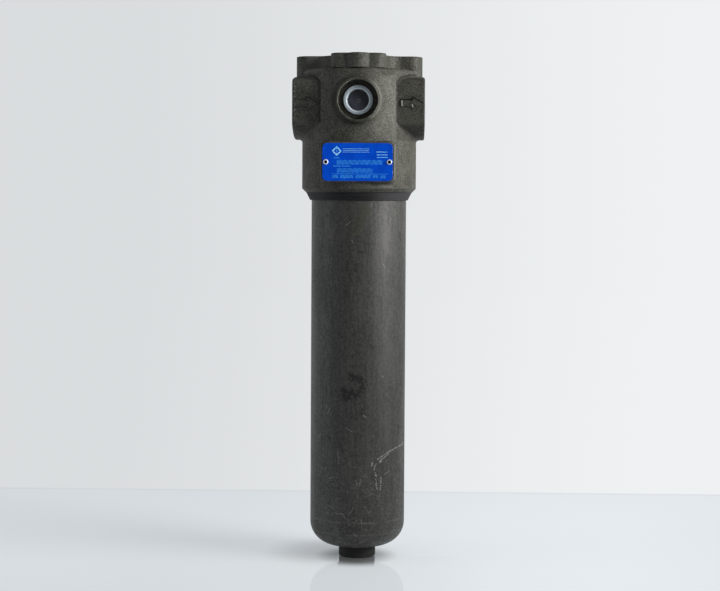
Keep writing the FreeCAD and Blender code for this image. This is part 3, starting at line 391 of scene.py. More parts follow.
class Finish(Formula):
    """One finish of the filter, on Object coordinates in metres."""

    def __init__(self, name):
        self.material = bpy.data.materials.new(name + "_finish")
        self.material.use_nodes = True
        super().__init__(self.material.node_tree)
        self.shader = self.node("ShaderNodeBsdfPrincipled")
        self.surface = self.node("ShaderNodeOutputMaterial").inputs["Surface"]
        self.feed(self.surface, self.shader.outputs["BSDF"])
        self.point = self.node("ShaderNodeTexCoord").outputs["Object"]
        self.x, self.y, self.z = self.parts(self.point)
        self.soft_normal = None

    def set(self, **values):
        """Sets the shader's inputs, named with underscores for spaces."""
        for name, value in values.items():
            socket = self.shader.inputs[name.replace("_", " ")]
            if isinstance(value, tuple) and len(value) == 3 and len(socket.default_value) == 4:
                value = (*value, 1.0)
            self.feed(socket, value)

    def stretched(self, x, y, z):
        """The place with each axis scaled, so that a pattern is drawn out along the smallest."""
        return self.vector_calc("MULTIPLY", self.point, (x, y, z))

    def noise(self, size, detail=3.0, point=None, roughness=0.55):
        """Cloudy pattern from 0 to 1, with forms about this many metres wide."""
        made = self.node("ShaderNodeTexNoise")
        self.feed(made.inputs["Vector"], point or self.point)
        made.inputs["Scale"].default_value = 1.0 / size
        made.inputs["Detail"].default_value = detail
        made.inputs["Roughness"].default_value = roughness
        return made.outputs[0]

    def patches(self, size, detail, low, high, *ends):
        """Soft patches: 0 where the cloudy pattern is under low and 1 over high, or these ends instead."""
        return self.step(self.noise(size, detail), low, high, *ends)

    def grains(self, size, point=None):
        """Distance to the nearest of many scattered points, 0 at a point and about 0.5 between."""
        made = self.node("ShaderNodeTexVoronoi")
        self.feed(made.inputs["Vector"], point or self.point)
        made.inputs["Scale"].default_value = 1.0 / size
        return made.outputs["Distance"]

    def edges(self, radius, low=0.015, high=0.12):
        """1 on edges, 0 on open faces: how far the rounded normal turns from the face's own."""
        rounded = self.node("ShaderNodeBevel", samples=6)
        rounded.inputs["Radius"].default_value = radius
        self.soft_normal = rounded.outputs["Normal"]
        face = self.node("ShaderNodeNewGeometry").outputs["Normal"]
        turned = self.inverse(self.vector_calc("DOT_PRODUCT", self.soft_normal, face, number=True))
        return self.step(turned, low, high)

    def relief(self, height_mm):
        """Turns a height in millimetres into the shader's normal."""
        made = self.node("ShaderNodeBump")
        made.inputs["Strength"].default_value = 1.0
        made.inputs["Distance"].default_value = MM
        self.feed(made.inputs["Height"], height_mm)
        if self.soft_normal:
            self.feed(made.inputs["Normal"], self.soft_normal)
        self.feed(self.shader.inputs["Normal"], made.outputs["Normal"])

    def drawn(self, at, paths, half_width):
        """1 on marks along several paths, fading to 0 at their half width. The nearest point of each
        stretch is start + share * along, with the share kept from 0 to 1, and the least distance counts."""
        nearest = 1.0
        for path in paths:
            for start, end in zip(path, path[1:]):
                along = end - start
                reach = self.vector_calc("SUBTRACT", at, start)
                share = self.vector_calc("DOT_PRODUCT", reach, along / along.length_squared, number=True)
                share = self.least(self.most(share, 0.0), 1.0)
                scaled = self.node("ShaderNodeVectorMath", along, operation="SCALE")
                self.feed(scaled.inputs["Scale"], share)
                away = self.vector_calc("DISTANCE", reach, scaled.outputs["Vector"], number=True)
                nearest = self.least(nearest, away)
        return self.step(nearest, half_width * 0.35, half_width, 1.0, 0.0)

    def from_axis(self, first, second):
        """Distance from an axis, from the two coordinates across it."""
        return self.calc("SQRT", self.total(self.calc("POWER", first, 2.0), self.calc("POWER", second, 2.0)))

    def within(self, value, limit, blend):
        """1 where the value is under the limit, 0 a blend's width past it."""
        return self.step(value, limit, limit + blend, 1.0, 0.0)

    def near(self, value, middle, reach, blend):
        """1 where the value is within reach of the middle, 0 a blend's width past that."""
        return self.within(self.size(self.less(value, middle)), reach, blend)

    def beyond(self, value, limit, blend):
        """1 where the value is over the limit, 0 a blend's width under it."""
        return self.step(value, limit - blend, limit, 0.0, 1.0)

    def wave(self, value, pitch):
        """Rises and falls between -1 and 1 once in each pitch."""
        return self.calc("SINE", self.product(value, 2 * math.pi / pitch))

    def thread_wave(self, along, first, second, pitch):
        """A right-hand screw's wave: its phase is the height over the pitch less the turn round the axis."""
        turn = self.calc("ARCTAN2", second, first)
        return self.calc("SINE", self.less(self.product(along, 2 * math.pi / pitch), turn))


class CastHead(Finish):
    """Sand-cast iron, phosphated dark: sandy skin, pits and pale specks, with turned faces and threads.
    Zones and patterns that several layers need are kept on it; each layer is laid over the one before."""

    def __init__(self):
        super().__init__("cast_head")
        self.edge = self.edges(0.5 * MM)
        self.port_height = self.less(self.z, PORT_Z)
        self.indicator_height = self.less(self.z, INDICATOR_Z)
        self.side = self.size(self.x)
        self.from_bowl_axis = self.from_axis(self.x, self.y)
        self.from_port_axis = self.from_axis(self.y, self.port_height)
        self.from_indicator = self.from_axis(self.x, self.indicator_height)
        self.find_machined_faces()
        self.make_sand()

    def find_machined_faces(self):
        """Where the casting was cut: the cone over the bowl, its socket, the pad's top and the ports."""
        self.near_front = self.within(self.y, INDICATOR_RIM_Y + INDICATOR_DEPTH, HAIR)
        self.port_end = self.beyond(self.side, PORT_FACE_X - PORT_END_DEPTH, HAIR)
        self.cone = self.within(self.z, CONE_TOP_Z, 1.2 * MM)
        self.socket = self.product(self.within(self.z, SOCKET_TOP_Z, HAIR),
                                   self.within(self.from_bowl_axis, SOCKET_R, HAIR))
        self.top_face = self.beyond(self.z, PAD_TOP_Z - 0.02 * MM, HAIR)
        self.port_cut = self.product(self.port_end, self.within(self.from_port_axis, SPOTFACE_R, 0.3 * MM))
        self.indicator_cut = self.product(
            self.near_front, self.within(self.from_indicator, INDICATOR_BORE_R + 0.8 * MM, HAIR))
        self.machined = self.most(self.cone, self.socket, self.top_face, self.port_cut, self.indicator_cut)

    def make_sand(self):
        """The patterns that the moulding sand left."""
        cloud = self.noise(14.0 * MM, 4.0)
        self.sand = self.noise(1.6 * MM, 2.0, roughness=0.6)
        self.fine_sand = self.noise(0.9 * MM, 1.0)
        self.pits = self.product(self.step(self.grains(1.8 * MM), 0.08, 0.32, 1.0, 0.0),
                                 self.patches(5.0 * MM, 1.0, 0.36, 0.56))
        self.tone = self.step(self.sum_of((cloud, 0.25), (self.sand, 0.4), (self.fine_sand, 0.35)), 0.38, 0.62)

    def skin(self):
        """The cast skin, painted paler on the cheek between the indicator and the right boss as painted light.
        """
        dark_skin, pale_skin, lit_cheek_colour = (0.034, 0.0335, 0.026), (0.104, 0.102, 0.086), (0.17, 0.17, 0.148)
        pit, speck = (0.007, 0.0065, 0.005), (0.22, 0.22, 0.19)
        grains = self.grains(1.9 * MM, self.stretched(1.0, 1.0, 1.2))
        specks = self.product(self.step(grains, 0.08, 0.3, 1.0, 0.0),
                              self.patches(3.1 * MM, 1.0, 0.46, 0.62))
        # The cheek between the indicator and the right boss is painted paler: painted light.
        cheek = self.product(self.step(self.x, *CHEEK_LEFT), self.step(self.side, *CHEEK_RIGHT, 1.0, 0.0),
                             self.step(self.port_height, *CHEEK_BOTTOM),
                             self.within(self.port_height, CHEEK_TOP, 3.0 * MM),
                             self.within(self.y, -10.0 * MM, 10.0 * MM))
        colour = self.mix(self.tone, dark_skin, pale_skin)
        colour = self.mix(self.product(cheek, self.fade(self.tone, 0.25, 0.55)), colour, lit_cheek_colour)
        colour = self.mix(self.product(self.pits, 0.8), colour, pit)
        return self.mix(self.product(specks, 0.4), colour, speck)

    def turned_faces(self, skin):
        """The cut faces over the skin, the cone painted darkest at its front middle and lighter towards its
        flanks as painted shade, and the left lobe painted paler as painted light.
        """
        dark_turned, pale_turned, lobe = (0.045, 0.045, 0.046), (0.085, 0.085, 0.085), (0.15, 0.15, 0.135)
        middle, flank, worn = (0.009, 0.009, 0.0094), (0.048, 0.047, 0.050), (0.040, 0.039, 0.042)
        turned_tone = self.step(self.noise(8.0 * MM, 3.0, self.stretched(0.4, 0.4, 2.0)), 0.35, 0.65)
        # The cone is painted darkest at its front middle and lighter towards its flanks: painted shade.
        cone_side = self.step(self.size(self.less(self.x, CONE_MIDDLE_X)), *CONE_FADE)
        turned_cone = self.mix(cone_side, middle, flank)
        turned_cone = self.mix(self.product(turned_tone, 0.35), turned_cone, worn)
        turned = self.mix(turned_tone, dark_turned, pale_turned)
        colour = self.mix(self.machined, skin, self.mix(self.cone, turned, turned_cone))
        # The left lobe is painted paler: painted light.
        left_lobe = self.product(self.near(self.x, LEFT_LOBE_X, 6.0 * MM, 6.0 * MM),
                                 self.beyond(self.port_height, LEFT_LOBE_HEIGHT, 3.0 * MM))
        return self.mix(self.product(left_lobe, 0.35), colour, lobe)

    def round_indicator(self, colour):
        """Painted shade in the counterbore and round the boss's lower left, a painted highlight on the rim at
        its right, and painted shade on the front of the right port boss."""
        oily, dim_rim_highlight, bright_rim_highlight = (0.014, 0.012, 0.008), (0.16, 0.16, 0.14), (0.30, 0.30, 0.265)
        # The counterbore is painted near black with the oily colour: painted shade in the recess.
        recess = self.product(self.near_front,
                              self.within(self.from_indicator, COUNTERBORE_R - 0.1 * MM, 0.3 * MM),
                              self.beyond(self.y, INDICATOR_RIM_Y + 0.9 * MM, 0.6 * MM))
        colour = self.mix(self.product(recess, 0.6), colour, oily)
        # Painted shade round the boss's lower left.
        lower_left = self.sum_of((self.x, -0.8), (self.indicator_height, -0.6))
        lower_left_shade = self.product(self.near(self.from_indicator, BOSS_SHADE_R, 1.8 * MM, 3.0 * MM),
                             self.step(lower_left, -6.0 * MM, 20.0 * MM, 0.15, 0.62), self.near_front)
        # Painted shade on the front of the right port boss, stronger towards its bottom.
        boss_front_shade = self.product(self.step(self.port_height, *BOSS_FRONT_SHADE_FADE, 0.34, 0.14),
                            self.beyond(self.x, HEAD_FLANK_X, HAIR),
                            self.beyond(self.port_height, BOSS_FRONT_SHADE_BOTTOM, MM),
                            self.within(self.port_height, BOSS_FRONT_SHADE_TOP, MM))
        colour = self.mix(self.most(lower_left_shade, boss_front_shade), colour, PAINTED_SHADE_COLOUR)
        # A painted highlight on the rim at the counterbore's right.
        rim = self.product(self.beyond(self.from_indicator, COUNTERBORE_R + 0.6 * MM, 0.6 * MM),
                           self.within(self.from_indicator, BOSS_RIM_R, 1.8 * MM),
                           self.step(self.x, *BOSS_RIM_FADE, 0.0, 0.62), self.near_front)
        return self.mix(rim, colour, self.mix(self.tone, dim_rim_highlight, bright_rim_highlight))

    def pad_sides(self, colour):
        """The drafted sides of the plate's pad: painted shade at the left and a painted highlight at the right.
        """
        # The pale colour here is the painted highlight of the right side.
        rubbed = (0.26, 0.26, 0.235)
        pad_side = self.product(self.near(self.z, PLATE_CENTRE_Z, PAD_SIDE_REACH, 3.0 * MM),
                                self.within(self.y, PAD_FRONT_Y, 2.0 * MM))
        shaded_side = self.near(self.x, PAD_LEFT_X, 1.2 * MM, 0.6 * MM)
        lit_side = self.near(self.x, PAD_RIGHT_X, 0.3 * MM, 0.4 * MM)
        colour = self.mix(self.product(pad_side, shaded_side, 0.6), colour, PAINTED_SHADE_COLOUR)
        return self.mix(self.product(pad_side, lit_side, 0.45), colour, rubbed)

    def rubbed_edges(self, colour):
        """Edges rubbed pale away from the indicator, and the counterbore's lip, lit at its left."""
        edge_colour, lit = (0.3, 0.3, 0.28), (0.34, 0.34, 0.28)
        away = self.beyond(self.from_indicator, INDICATOR_BOSS_R, MM)
        self.rubbed = self.product(self.edge, self.patches(2.2 * MM, 2.0, 0.5, 0.68),
                                   self.fade(away, 0.15, 1.0))
        colour = self.mix(self.product(self.rubbed, 0.5), colour, edge_colour)
        lit_lip = self.product(self.near(self.from_indicator, COUNTERBORE_R, 0.15 * MM, 0.4 * MM),
                               self.within(self.y, INDICATOR_RIM_Y + 1.0 * MM, HAIR),
                               self.step(self.x, -11.0 * MM, -3.0 * MM, 1.0, 0.0),
                               self.step(self.sand, 0.35, 0.6, 0.35, 0.9))
        return self.mix(lit_lip, colour, lit)

    def arrow_edge_shade(self):
        """Painted shade along the raised arrows, which are alike on both bosses: strong along their upper edges
        and faint along their lower ones.
        """
        apart = (OUTLET_ARROW_X - INLET_ARROW_X) / 2
        boss_shift = self.total(self.product(self.calc("SIGN", self.x), apart), OUTLET_ARROW_X - apart)
        on_face = self.point_of(self.less(self.x, boss_shift), 0.0, self.z)
        above, below = [[Vector((x, 0, ARROW_Z + z)) for x, z in path] for path in (ARROW_TOP, ARROW_BOTTOM)]
        # Painted shade along the arrows' upper and lower edges.
        along = self.most(self.product(self.drawn(on_face, [above], 1.15 * MM), 0.95),
                          self.product(self.drawn(on_face, [below], 0.8 * MM), 0.25))
        boss_front = self.product(self.within(self.y, -PORT_HALF_WIDTH + 1.0 * MM, 0.5 * MM),
                                  self.beyond(self.side, HEAD_FLANK_X, HAIR))
        return self.product(along, boss_front, self.step(self.x, -1.0 * MM, MM, 0.45, 1.0))

    def corner_shade(self):
        """Painted shade in the corner between the body and each boss: inside all its lines, by the least reach
        to one of them."""
        inner = self.less(self.side, CORNER_X)
        inside = 1.0
        for rise, slope in CORNER_SIDES:
            away = -1.0 if rise > 0 else 1.0
            reach = self.total(self.product(inner, slope), self.product(self.port_height, away), abs(rise))
            inside = self.least(inside, reach)
        return self.product(self.step(self.least(inside, inner), 0.0, 0.5 * MM),
                            self.within(self.from_bowl_axis, BODY_R + 0.3 * MM, 0.4 * MM),
                            self.within(self.y, -5.0 * MM, 5.0 * MM),
                            self.step(self.sand, 0.3, 0.6, 0.84, 0.66))

    def nicks(self):
        """The bright nicks that the picture shows on the left boss's edge and on the right arrow."""
        on_boss, *on_arrow = [[seen_at("head_casting", column, row) for column, row in path]
                              for path in [BOSS_EDGE_NICKS] + ARROW_NICKS]
        return self.most(self.product(self.drawn(self.point, [on_boss], 0.8 * MM),
                                      self.step(self.sand, 0.5, 0.62), 0.7),
                         self.product(self.drawn(self.point, on_arrow, 0.8 * MM), 0.7))

    def heights(self, nicks):
        """Heights in millimetres: lumps, sand and pits on the skin, rings and threads where it was cut."""
        sand_height = self.sum_of((self.noise(7.0 * MM, 2.0), 0.35), (self.sand, 0.34), (self.fine_sand, 0.16),
                                  (self.pits, -0.2))
        rings = self.total(*[self.product(self.wave(reach, pitch), face) for reach, pitch, face in (
            (self.from_bowl_axis, 0.45 * MM, self.top_face), (self.from_port_axis, 0.5 * MM, self.port_cut),
            (self.from_indicator, 0.5 * MM, self.indicator_cut))])
        port_thread = self.product(self.thread_wave(self.x, self.y, self.port_height, PORT_PITCH), 0.35,
                                   self.within(self.from_port_axis, PORT_BORE_R + 0.1 * MM, HAIR),
                                   self.step(self.x, 0.0, 1.0 * MM), self.port_end)
        indicator_thread = self.product(
            self.thread_wave(self.y, self.indicator_height, self.x, INDICATOR_PITCH), 0.25,
            self.within(self.from_indicator, INDICATOR_BORE_R + 0.1 * MM, HAIR), self.near_front)
        socket_thread = self.product(self.thread_wave(self.z, self.x, self.y, BOWL_PITCH), 0.3, self.socket,
                                     self.within(self.z, SOCKET_THREAD_TOP_Z, HAIR))
        return self.total(self.product(self.inverse(self.machined), sand_height), self.product(rings, 0.012),
                          port_thread, indicator_thread, socket_thread, self.product(nicks, -0.1))


def cast_head_finish():
    """The casting's layers, from the skin out to the nicks."""
    painted_shade_black, bare_iron = (0.004, 0.004, 0.003), (0.62, 0.62, 0.58)
    iron = CastHead()
    colour = iron.turned_faces(iron.skin())
    colour = iron.rubbed_edges(iron.pad_sides(iron.round_indicator(colour)))
    # Painted shade along the arrows and in the corners by the bosses.
    colour = iron.mix(iron.most(iron.arrow_edge_shade(), iron.corner_shade()), colour, painted_shade_black)
    nicks = iron.nicks()
    colour = iron.mix(nicks, colour, bare_iron)
    iron.relief(iron.heights(nicks))
    rough = iron.mix_value(iron.machined, iron.fade(iron.tone, 0.62, 0.52),
                           iron.mix_value(iron.cone, 0.42, 0.8))
    iron.set(Base_Color=colour, Roughness=iron.less(rough, iron.product(iron.rubbed, 0.12)))
    iron.set(Metallic=iron.most(iron.product(nicks, 0.8), iron.product(iron.rubbed, 0.4)),
             Specular_IOR_Level=0.22)
    return iron.material


def bowl_finish():
    """Drawn steel tube, phosphated dark: lengthwise streaks and cloudy stains, scratches and nicks where
    the picture shows them, a dusty lower end, and a stub painted near black, partly its dark finish and partly
    painted shade under the bowl."""
    dark_skin, pale_skin, stained = (0.019, 0.0187, 0.0165), (0.062, 0.061, 0.054), (0.003, 0.003, 0.002)
    oil_tint, dusty, scratch = (0.045, 0.043, 0.018), (0.2, 0.198, 0.188), (0.52, 0.52, 0.49)
    rubbed_edge, dark_stub, pale_stub = (0.3, 0.3, 0.29), (0.010, 0.0095, 0.009), (0.022, 0.021, 0.02)

    steel = Finish("bowl_steel")
    edge = steel.edges(0.4 * MM)
    arc = steel.product(steel.calc("ARCTAN2", steel.x, steel.product(steel.y, -1.0)), BOWL_R)
    wall = steel.point_of(arc, 0.0, steel.z)
    wander = steel.product(steel.less(steel.noise(2.5 * MM, 2.0), 0.5), 1.1 * MM)
    ragged_z = steel.total(steel.z, wander)
    ragged = steel.point_of(steel.total(arc, wander), 0.0, ragged_z)
    from_bowl_axis = steel.from_axis(steel.x, steel.y)
    outside = steel.beyond(from_bowl_axis, BOWL_R - 4.0 * MM, 2.0 * MM)

    # Streaks of the drawing and stains of the dip
    streaks = steel.noise(1.3 * MM, 2.0, steel.stretched(1.0, 1.0, 0.1))
    wide_streaks = steel.noise(5.0 * MM, 2.0, steel.stretched(1.0, 1.0, 0.07))
    cloud = steel.noise(28.0 * MM, 4.0, steel.stretched(1.0, 1.0, 0.5))
    mottle = steel.noise(2.6 * MM, 3.0)
    grain = steel.noise(1.2 * MM, 1.0)
    patterns = ((streaks, 0.17), (wide_streaks, 0.13), (cloud, 0.22), (mottle, 0.26), (grain, 0.22))
    tone = steel.step(steel.sum_of(*patterns), 0.40, 0.60)
    colour = steel.mix(tone, dark_skin, pale_skin)

    # Oil stains and dark marks
    def on_wall(*paths):
        return [[unrolled(seen_at("bowl", column, row)) for column, row in path] for path in paths]

    stain = steel.product(steel.drawn(wall, on_wall(DARK_STAIN), 5.5 * MM),
                          steel.step(steel.noise(2.8 * MM, 3.0, roughness=0.7), 0.41, 0.52))
    spots = steel.most(steel.product(steel.drawn(ragged, on_wall(*DARK_SPOTS), 2.0 * MM), 0.5),
                       steel.product(steel.drawn(ragged, on_wall(DARK_STAIN), 1.6 * MM), 0.9))
    colour = steel.mix(steel.most(steel.product(stain, 0.9), spots), colour, stained)
    tint = steel.product(steel.drawn(wall, on_wall(OIL_TINT), 7.0 * MM), steel.noise(4.0 * MM, 2.0), 0.55)
    colour = steel.mix(tint, colour, oil_tint)

    # Dust and rubbing, thicker towards the lower end
    low_end = steel.step(steel.z, *DUSTY_HEIGHTS, 1.0, 0.0)
    curls = steel.size(steel.less(steel.noise(13.0 * MM, 4.0), 0.5))
    hairs = steel.most(steel.product(steel.patches(1.5 * MM, 2.0, 0.54, 0.70), 0.5),
                       steel.product(steel.within(curls, 0.004, 0.013), steel.step(grain, 0.35, 0.55), 0.7))
    patches = steel.patches(11.0 * MM, 3.0, 0.40, 0.60)
    dust = steel.product(hairs, patches, steel.fade(low_end, 0.14, 0.75))
    corner = steel.product(steel.step(steel.z, *CORNER_DUST_HEIGHTS, 0.6, 0.0),
                           steel.patches(3.0 * MM, 3.0, 0.40, 0.62),
                           steel.beyond(from_bowl_axis, 32.0 * MM, 8.0 * MM))
    ring_heights = [seen_at("bowl", PICTURE_MIDDLE, row).z for row in RING_ROWS]
    rings = steel.most(*[steel.near(ragged_z, height, 0.3 * MM, 1.0 * MM) for height in ring_heights])
    rings = steel.product(rings, steel.patches(6.0 * MM, 2.0, 0.36, 0.6), 0.32)
    colour = steel.mix(steel.most(dust, rings, corner), colour, dusty)

    # Bright scratches and nicks, broken up as they skip over the skin
    broken = steel.patches(1.1 * MM, 1.0, 0.42, 0.56)
    skips = steel.step(mottle, 0.42, 0.54, 0.25, 0.62)
    scratched = steel.most(*[steel.product(steel.drawn(ragged, on_wall(*paths), half_width), *shares)
                             for paths, half_width, shares in (
                                 ([LONG_SCRATCH], 0.6 * MM, (skips,)), ([SECOND_SCRATCH], 0.5 * MM, (0.55,)),
                                 (NICKS, 0.8 * MM, (broken, 0.65)), (CURLED_SCRATCHES, 0.6 * MM, (0.22,)))])
    colour = steel.mix(scratched, colour, scratch)
    rubbed = steel.product(edge, steel.patches(3.0 * MM, 2.0, 0.45, 0.65), 0.35)
    colour = steel.mix(rubbed, colour, rubbed_edge)

    # The stub is painted near black: partly its dark finish, partly painted shade under the bowl.
    stub = steel.within(steel.z, STUB_TOP_Z, 0.2 * MM)
    colour = steel.mix(stub, colour, steel.mix(mottle, dark_stub, pale_stub))
    steel.relief(steel.sum_of((streaks, 0.05), (mottle, 0.05), (grain, 0.02), (wide_streaks, 0.12),
                              (scratched, -0.06), (dust, 0.03)))
    rough = steel.total(steel.fade(tone, 0.54, 0.43), steel.product(dust, 0.3),
                        steel.product(stub, 0.25), steel.product(steel.most(stain, spots), 0.2),
                        steel.product(outside, 0.02))
    steel.set(Base_Color=colour, Roughness=rough)
    steel.set(Metallic=steel.product(scratched, 0.7), Specular_IOR_Level=0.45)
    return steel.material


def blue_plate_finish():
    """Blue enamel on a thin metal plate: faint orange peel, fine wipe marks and a bare worn rim."""
    deep_blue, light_blue, bare_metal = (0.0, 0.066, 0.605), (0.0, 0.083, 0.69), (0.45, 0.5, 0.62)

    enamel = Finish("blue_plate")
    edge = enamel.edges(0.25 * MM, 0.03, 0.2)
    cloud = enamel.noise(9.0 * MM, 3.0)
    wipes = enamel.noise(0.7 * MM, 2.0, enamel.stretched(0.12, 1.0, 1.0))
    colour = enamel.mix(enamel.step(cloud, 0.35, 0.65), deep_blue, light_blue)
    chips = enamel.product(enamel.step(enamel.grains(3.4 * MM), 0.03, 0.1, 1.0, 0.0),
                           enamel.patches(4.0 * MM, 1.0, 0.56, 0.68))
    rim = enamel.product(edge, enamel.patches(1.5 * MM, 2.0, 0.3, 0.6, 0.25, 0.8))
    bare = enamel.most(chips, rim)
    colour = enamel.mix(enamel.product(bare, 0.7), colour, bare_metal)
    peel = enamel.noise(0.9 * MM, 2.0)
    bend = enamel.noise(16.0 * MM, 1.0)
    enamel.relief(enamel.sum_of((peel, 0.012), (wipes, 0.008), (bare, -0.03), (bend, 0.12)))
    enamel.set(Base_Color=colour, Roughness=enamel.step(wipes, 0.3, 0.7, 0.3, 0.44))
    enamel.set(Metallic=enamel.product(bare, 0.5), Specular_IOR_Level=0.08)
    return enamel.material


def plate_print_finish():
    """Pale blue lines printed on the enamel, thinner in places."""
    line = Finish("print_line")
    worn = line.patches(1.6 * MM, 3.0, 0.3, 0.65)
    upper = line.beyond(line.z, PLATE_CENTRE_Z + 4.1 * MM, 0.1 * MM)
    letters = line.mix(worn, (0.02, 0.30, 0.80), (0.08, 0.46, 0.93))
    heading = line.mix(worn, (0.10, 0.54, 0.97), (0.40, 0.75, 0.98))
    line.set(Base_Color=line.mix(upper, letters, heading), Roughness=line.fade(worn, 0.5, 0.38))
    line.relief(line.product(line.noise(0.4 * MM, 2.0), 0.01))
    line.set(Specular_IOR_Level=0.1)
    return line.material


def rivet_finish():
    """Drawn aluminium rivets, a little tarnished in patches, with the hole painted near black as painted shade.
    """
    metal = Finish("rivet_metal")
    edge = metal.edges(0.2 * MM)
    stain = metal.patches(1.2 * MM, 3.0, 0.35, 0.65)
    from_side = metal.less(metal.size(metal.x), RIVET_X)
    # The hole is painted near black: painted shade.
    hole = metal.within(metal.from_axis(from_side, metal.less(metal.z, PLATE_CENTRE_Z)), RIVET_HOLE_R, 0.1 * MM)
    bright = metal.mix(stain, (0.74, 0.80, 0.90), (0.86, 0.92, 0.97))
    metal.set(Base_Color=metal.mix(hole, bright, (0.012, 0.012, 0.012)))
    metal.set(Metallic=metal.fade(hole, 0.2, 0.0))
    metal.set(Roughness=metal.less(metal.fade(stain, 0.42, 0.26), metal.product(edge, 0.05)))
    metal.relief(metal.sum_of((metal.noise(0.5 * MM, 2.0), 0.02), (stain, 0.01)))
    return metal.material


def plug_finish():
    """Milky soft plastic of the shipping plugs: cloudy, with faint moulding rings round the gate, a pale lip
    round the cup, and the cup painted dark as painted shade, lighter towards its lower left as painted light."""
    milky, pale, groove_tint = (0.47, 0.545, 0.59), (0.545, 0.605, 0.64), (0.42, 0.52, 0.60)
    lip_tint, gate_tint = (0.80, 0.88, 0.93), (0.42, 0.42, 0.48)
    shaded_cup_colour, lit_cup_colour = (0.060, 0.054, 0.064), (0.25, 0.27, 0.34)

    plastic = Finish("plug_plastic")
    edge = plastic.edges(0.4 * MM)
    cloud = plastic.patches(6.0 * MM, 3.0, 0.3, 0.7)
    drawn_out = plastic.noise(0.9 * MM, 2.0, plastic.stretched(1.0, 1.0, 0.3))
    scuffs = plastic.product(plastic.step(drawn_out, 0.58, 0.7),
                             plastic.patches(5.0 * MM, 1.0, 0.45, 0.6))

    # Distance from each plug's own gate, with the side plug's drawn in to the front plug's size
    height = plastic.less(plastic.z, INDICATOR_Z)
    from_side_gate = plastic.from_axis(plastic.y, plastic.less(plastic.z, PORT_Z))
    at_side = plastic.beyond(plastic.x, PORT_FACE_X - 20.0 * MM, MM)
    from_gate = plastic.mix_value(at_side, plastic.from_axis(plastic.x, height),
                                  plastic.product(from_side_gate, INDICATOR_BORE_R / PORT_BORE_R))
    rings = plastic.wave(from_gate, 1.6 * MM)
    groove = plastic.near(from_gate, PLUG_GROOVE_R, 0.5 * MM, 0.6 * MM)
    lip = plastic.near(from_gate, PLUG_LIP_R, 0.35 * MM, 0.5 * MM)
    in_cup = plastic.within(from_gate, PLUG_CUP_R, 0.2 * MM)
    gate = plastic.near(from_gate, PLUG_GATE_R, 0.25 * MM, 0.5 * MM)

    colour = plastic.mix(cloud, milky, pale)
    colour = plastic.mix(plastic.product(groove, 0.55), colour, groove_tint)
    worn = plastic.most(plastic.product(scuffs, 0.4), plastic.product(edge, 0.5), lip)
    colour = plastic.mix(worn, colour, lip_tint)
    # The cup is painted dark as painted shade, lighter towards its lower left as painted light.
    slant = plastic.sum_of((plastic.x, -1.0), (height, -0.8))
    cup_shade = plastic.mix(plastic.step(slant, -8.0 * MM, 12.0 * MM), shaded_cup_colour, lit_cup_colour)
    cup_shade = plastic.mix(plastic.product(gate, 0.6), cup_shade, gate_tint)
    colour = plastic.mix(in_cup, colour, cup_shade)
    plastic.relief(plastic.sum_of((rings, 0.006), (plastic.noise(0.8 * MM, 2.0), 0.02),
                                  (plastic.noise(6.0 * MM, 1.0), 0.15)))
    plastic.set(Base_Color=colour, Roughness=plastic.fade(scuffs, 0.3, 0.5))
    plastic.set(Transmission_Weight=0.15, IOR=1.51)
    return plastic.material


def rubber_finish():
    """Black seal rubber with a soft bloom and a wet trace of oil."""
    rubber = Finish("seal_rubber")
    bloom = rubber.patches(2.0 * MM, 4.0, 0.45, 0.7)
    rubber.set(Base_Color=rubber.mix(bloom, (0.012, 0.012, 0.012), (0.05, 0.05, 0.048)))
    rubber.set(Roughness=rubber.fade(bloom, 0.32, 0.6))
    rubber.relief(rubber.product(rubber.noise(0.5 * MM, 2.0), 0.02))
    return rubber.material


def backup_ring_finish():
    """White slippery plastic, cut with a knife: faint lengthwise lines and a few oil stains."""
    plastic = Finish("backup_plastic")
    lines = plastic.noise(0.3 * MM, 2.0, plastic.stretched(0.1, 0.1, 1.0))
    oil = plastic.patches(5.0 * MM, 3.0, 0.5, 0.75)
    plastic.set(Base_Color=plastic.mix(oil, (0.84, 0.83, 0.79), (0.6, 0.55, 0.42)))
    plastic.set(Roughness=plastic.fade(oil, 0.42, 0.26), Subsurface_Weight=0.1)
    plastic.set(Subsurface_Radius=(MM, MM, MM))
    plastic.relief(plastic.product(lines, 0.015))
    return plastic.material


def plated_steel_finish():
    """Turned and zinc-plated steel: fine tool rings along the axis, a faint yellow bloom in places."""
    steel = Finish("plated_steel")
    edge = steel.edges(0.25 * MM)
    tool = steel.noise(0.35 * MM, 2.0, steel.stretched(0.08, 0.08, 1.0))
    bloom = steel.patches(6.0 * MM, 3.0, 0.4, 0.7)
    colour = steel.mix(bloom, (0.60, 0.60, 0.60), (0.66, 0.62, 0.5))
    colour = steel.mix(steel.product(edge, 0.5), colour, (0.8, 0.8, 0.8))
    steel.set(Base_Color=colour, Metallic=0.95, Roughness=steel.step(tool, 0.3, 0.7, 0.26, 0.42))
    steel.relief(steel.product(tool, 0.012))
    return steel.material


def spring_finish():
    """Drawn spring wire: dark oily grey with fine lengthwise lines."""
    wire = Finish("spring_steel")
    lines = wire.noise(0.25 * MM, 3.0, wire.stretched(1.0, 1.0, 3.0))
    film = wire.patches(2.5 * MM, 3.0, 0.35, 0.7)
    wire.set(Base_Color=wire.mix(film, (0.22, 0.22, 0.23), (0.42, 0.41, 0.4)), Metallic=0.9)
    wire.set(Roughness=wire.fade(film, 0.28, 0.44))
    wire.relief(wire.product(lines, 0.01))
    return wire.material


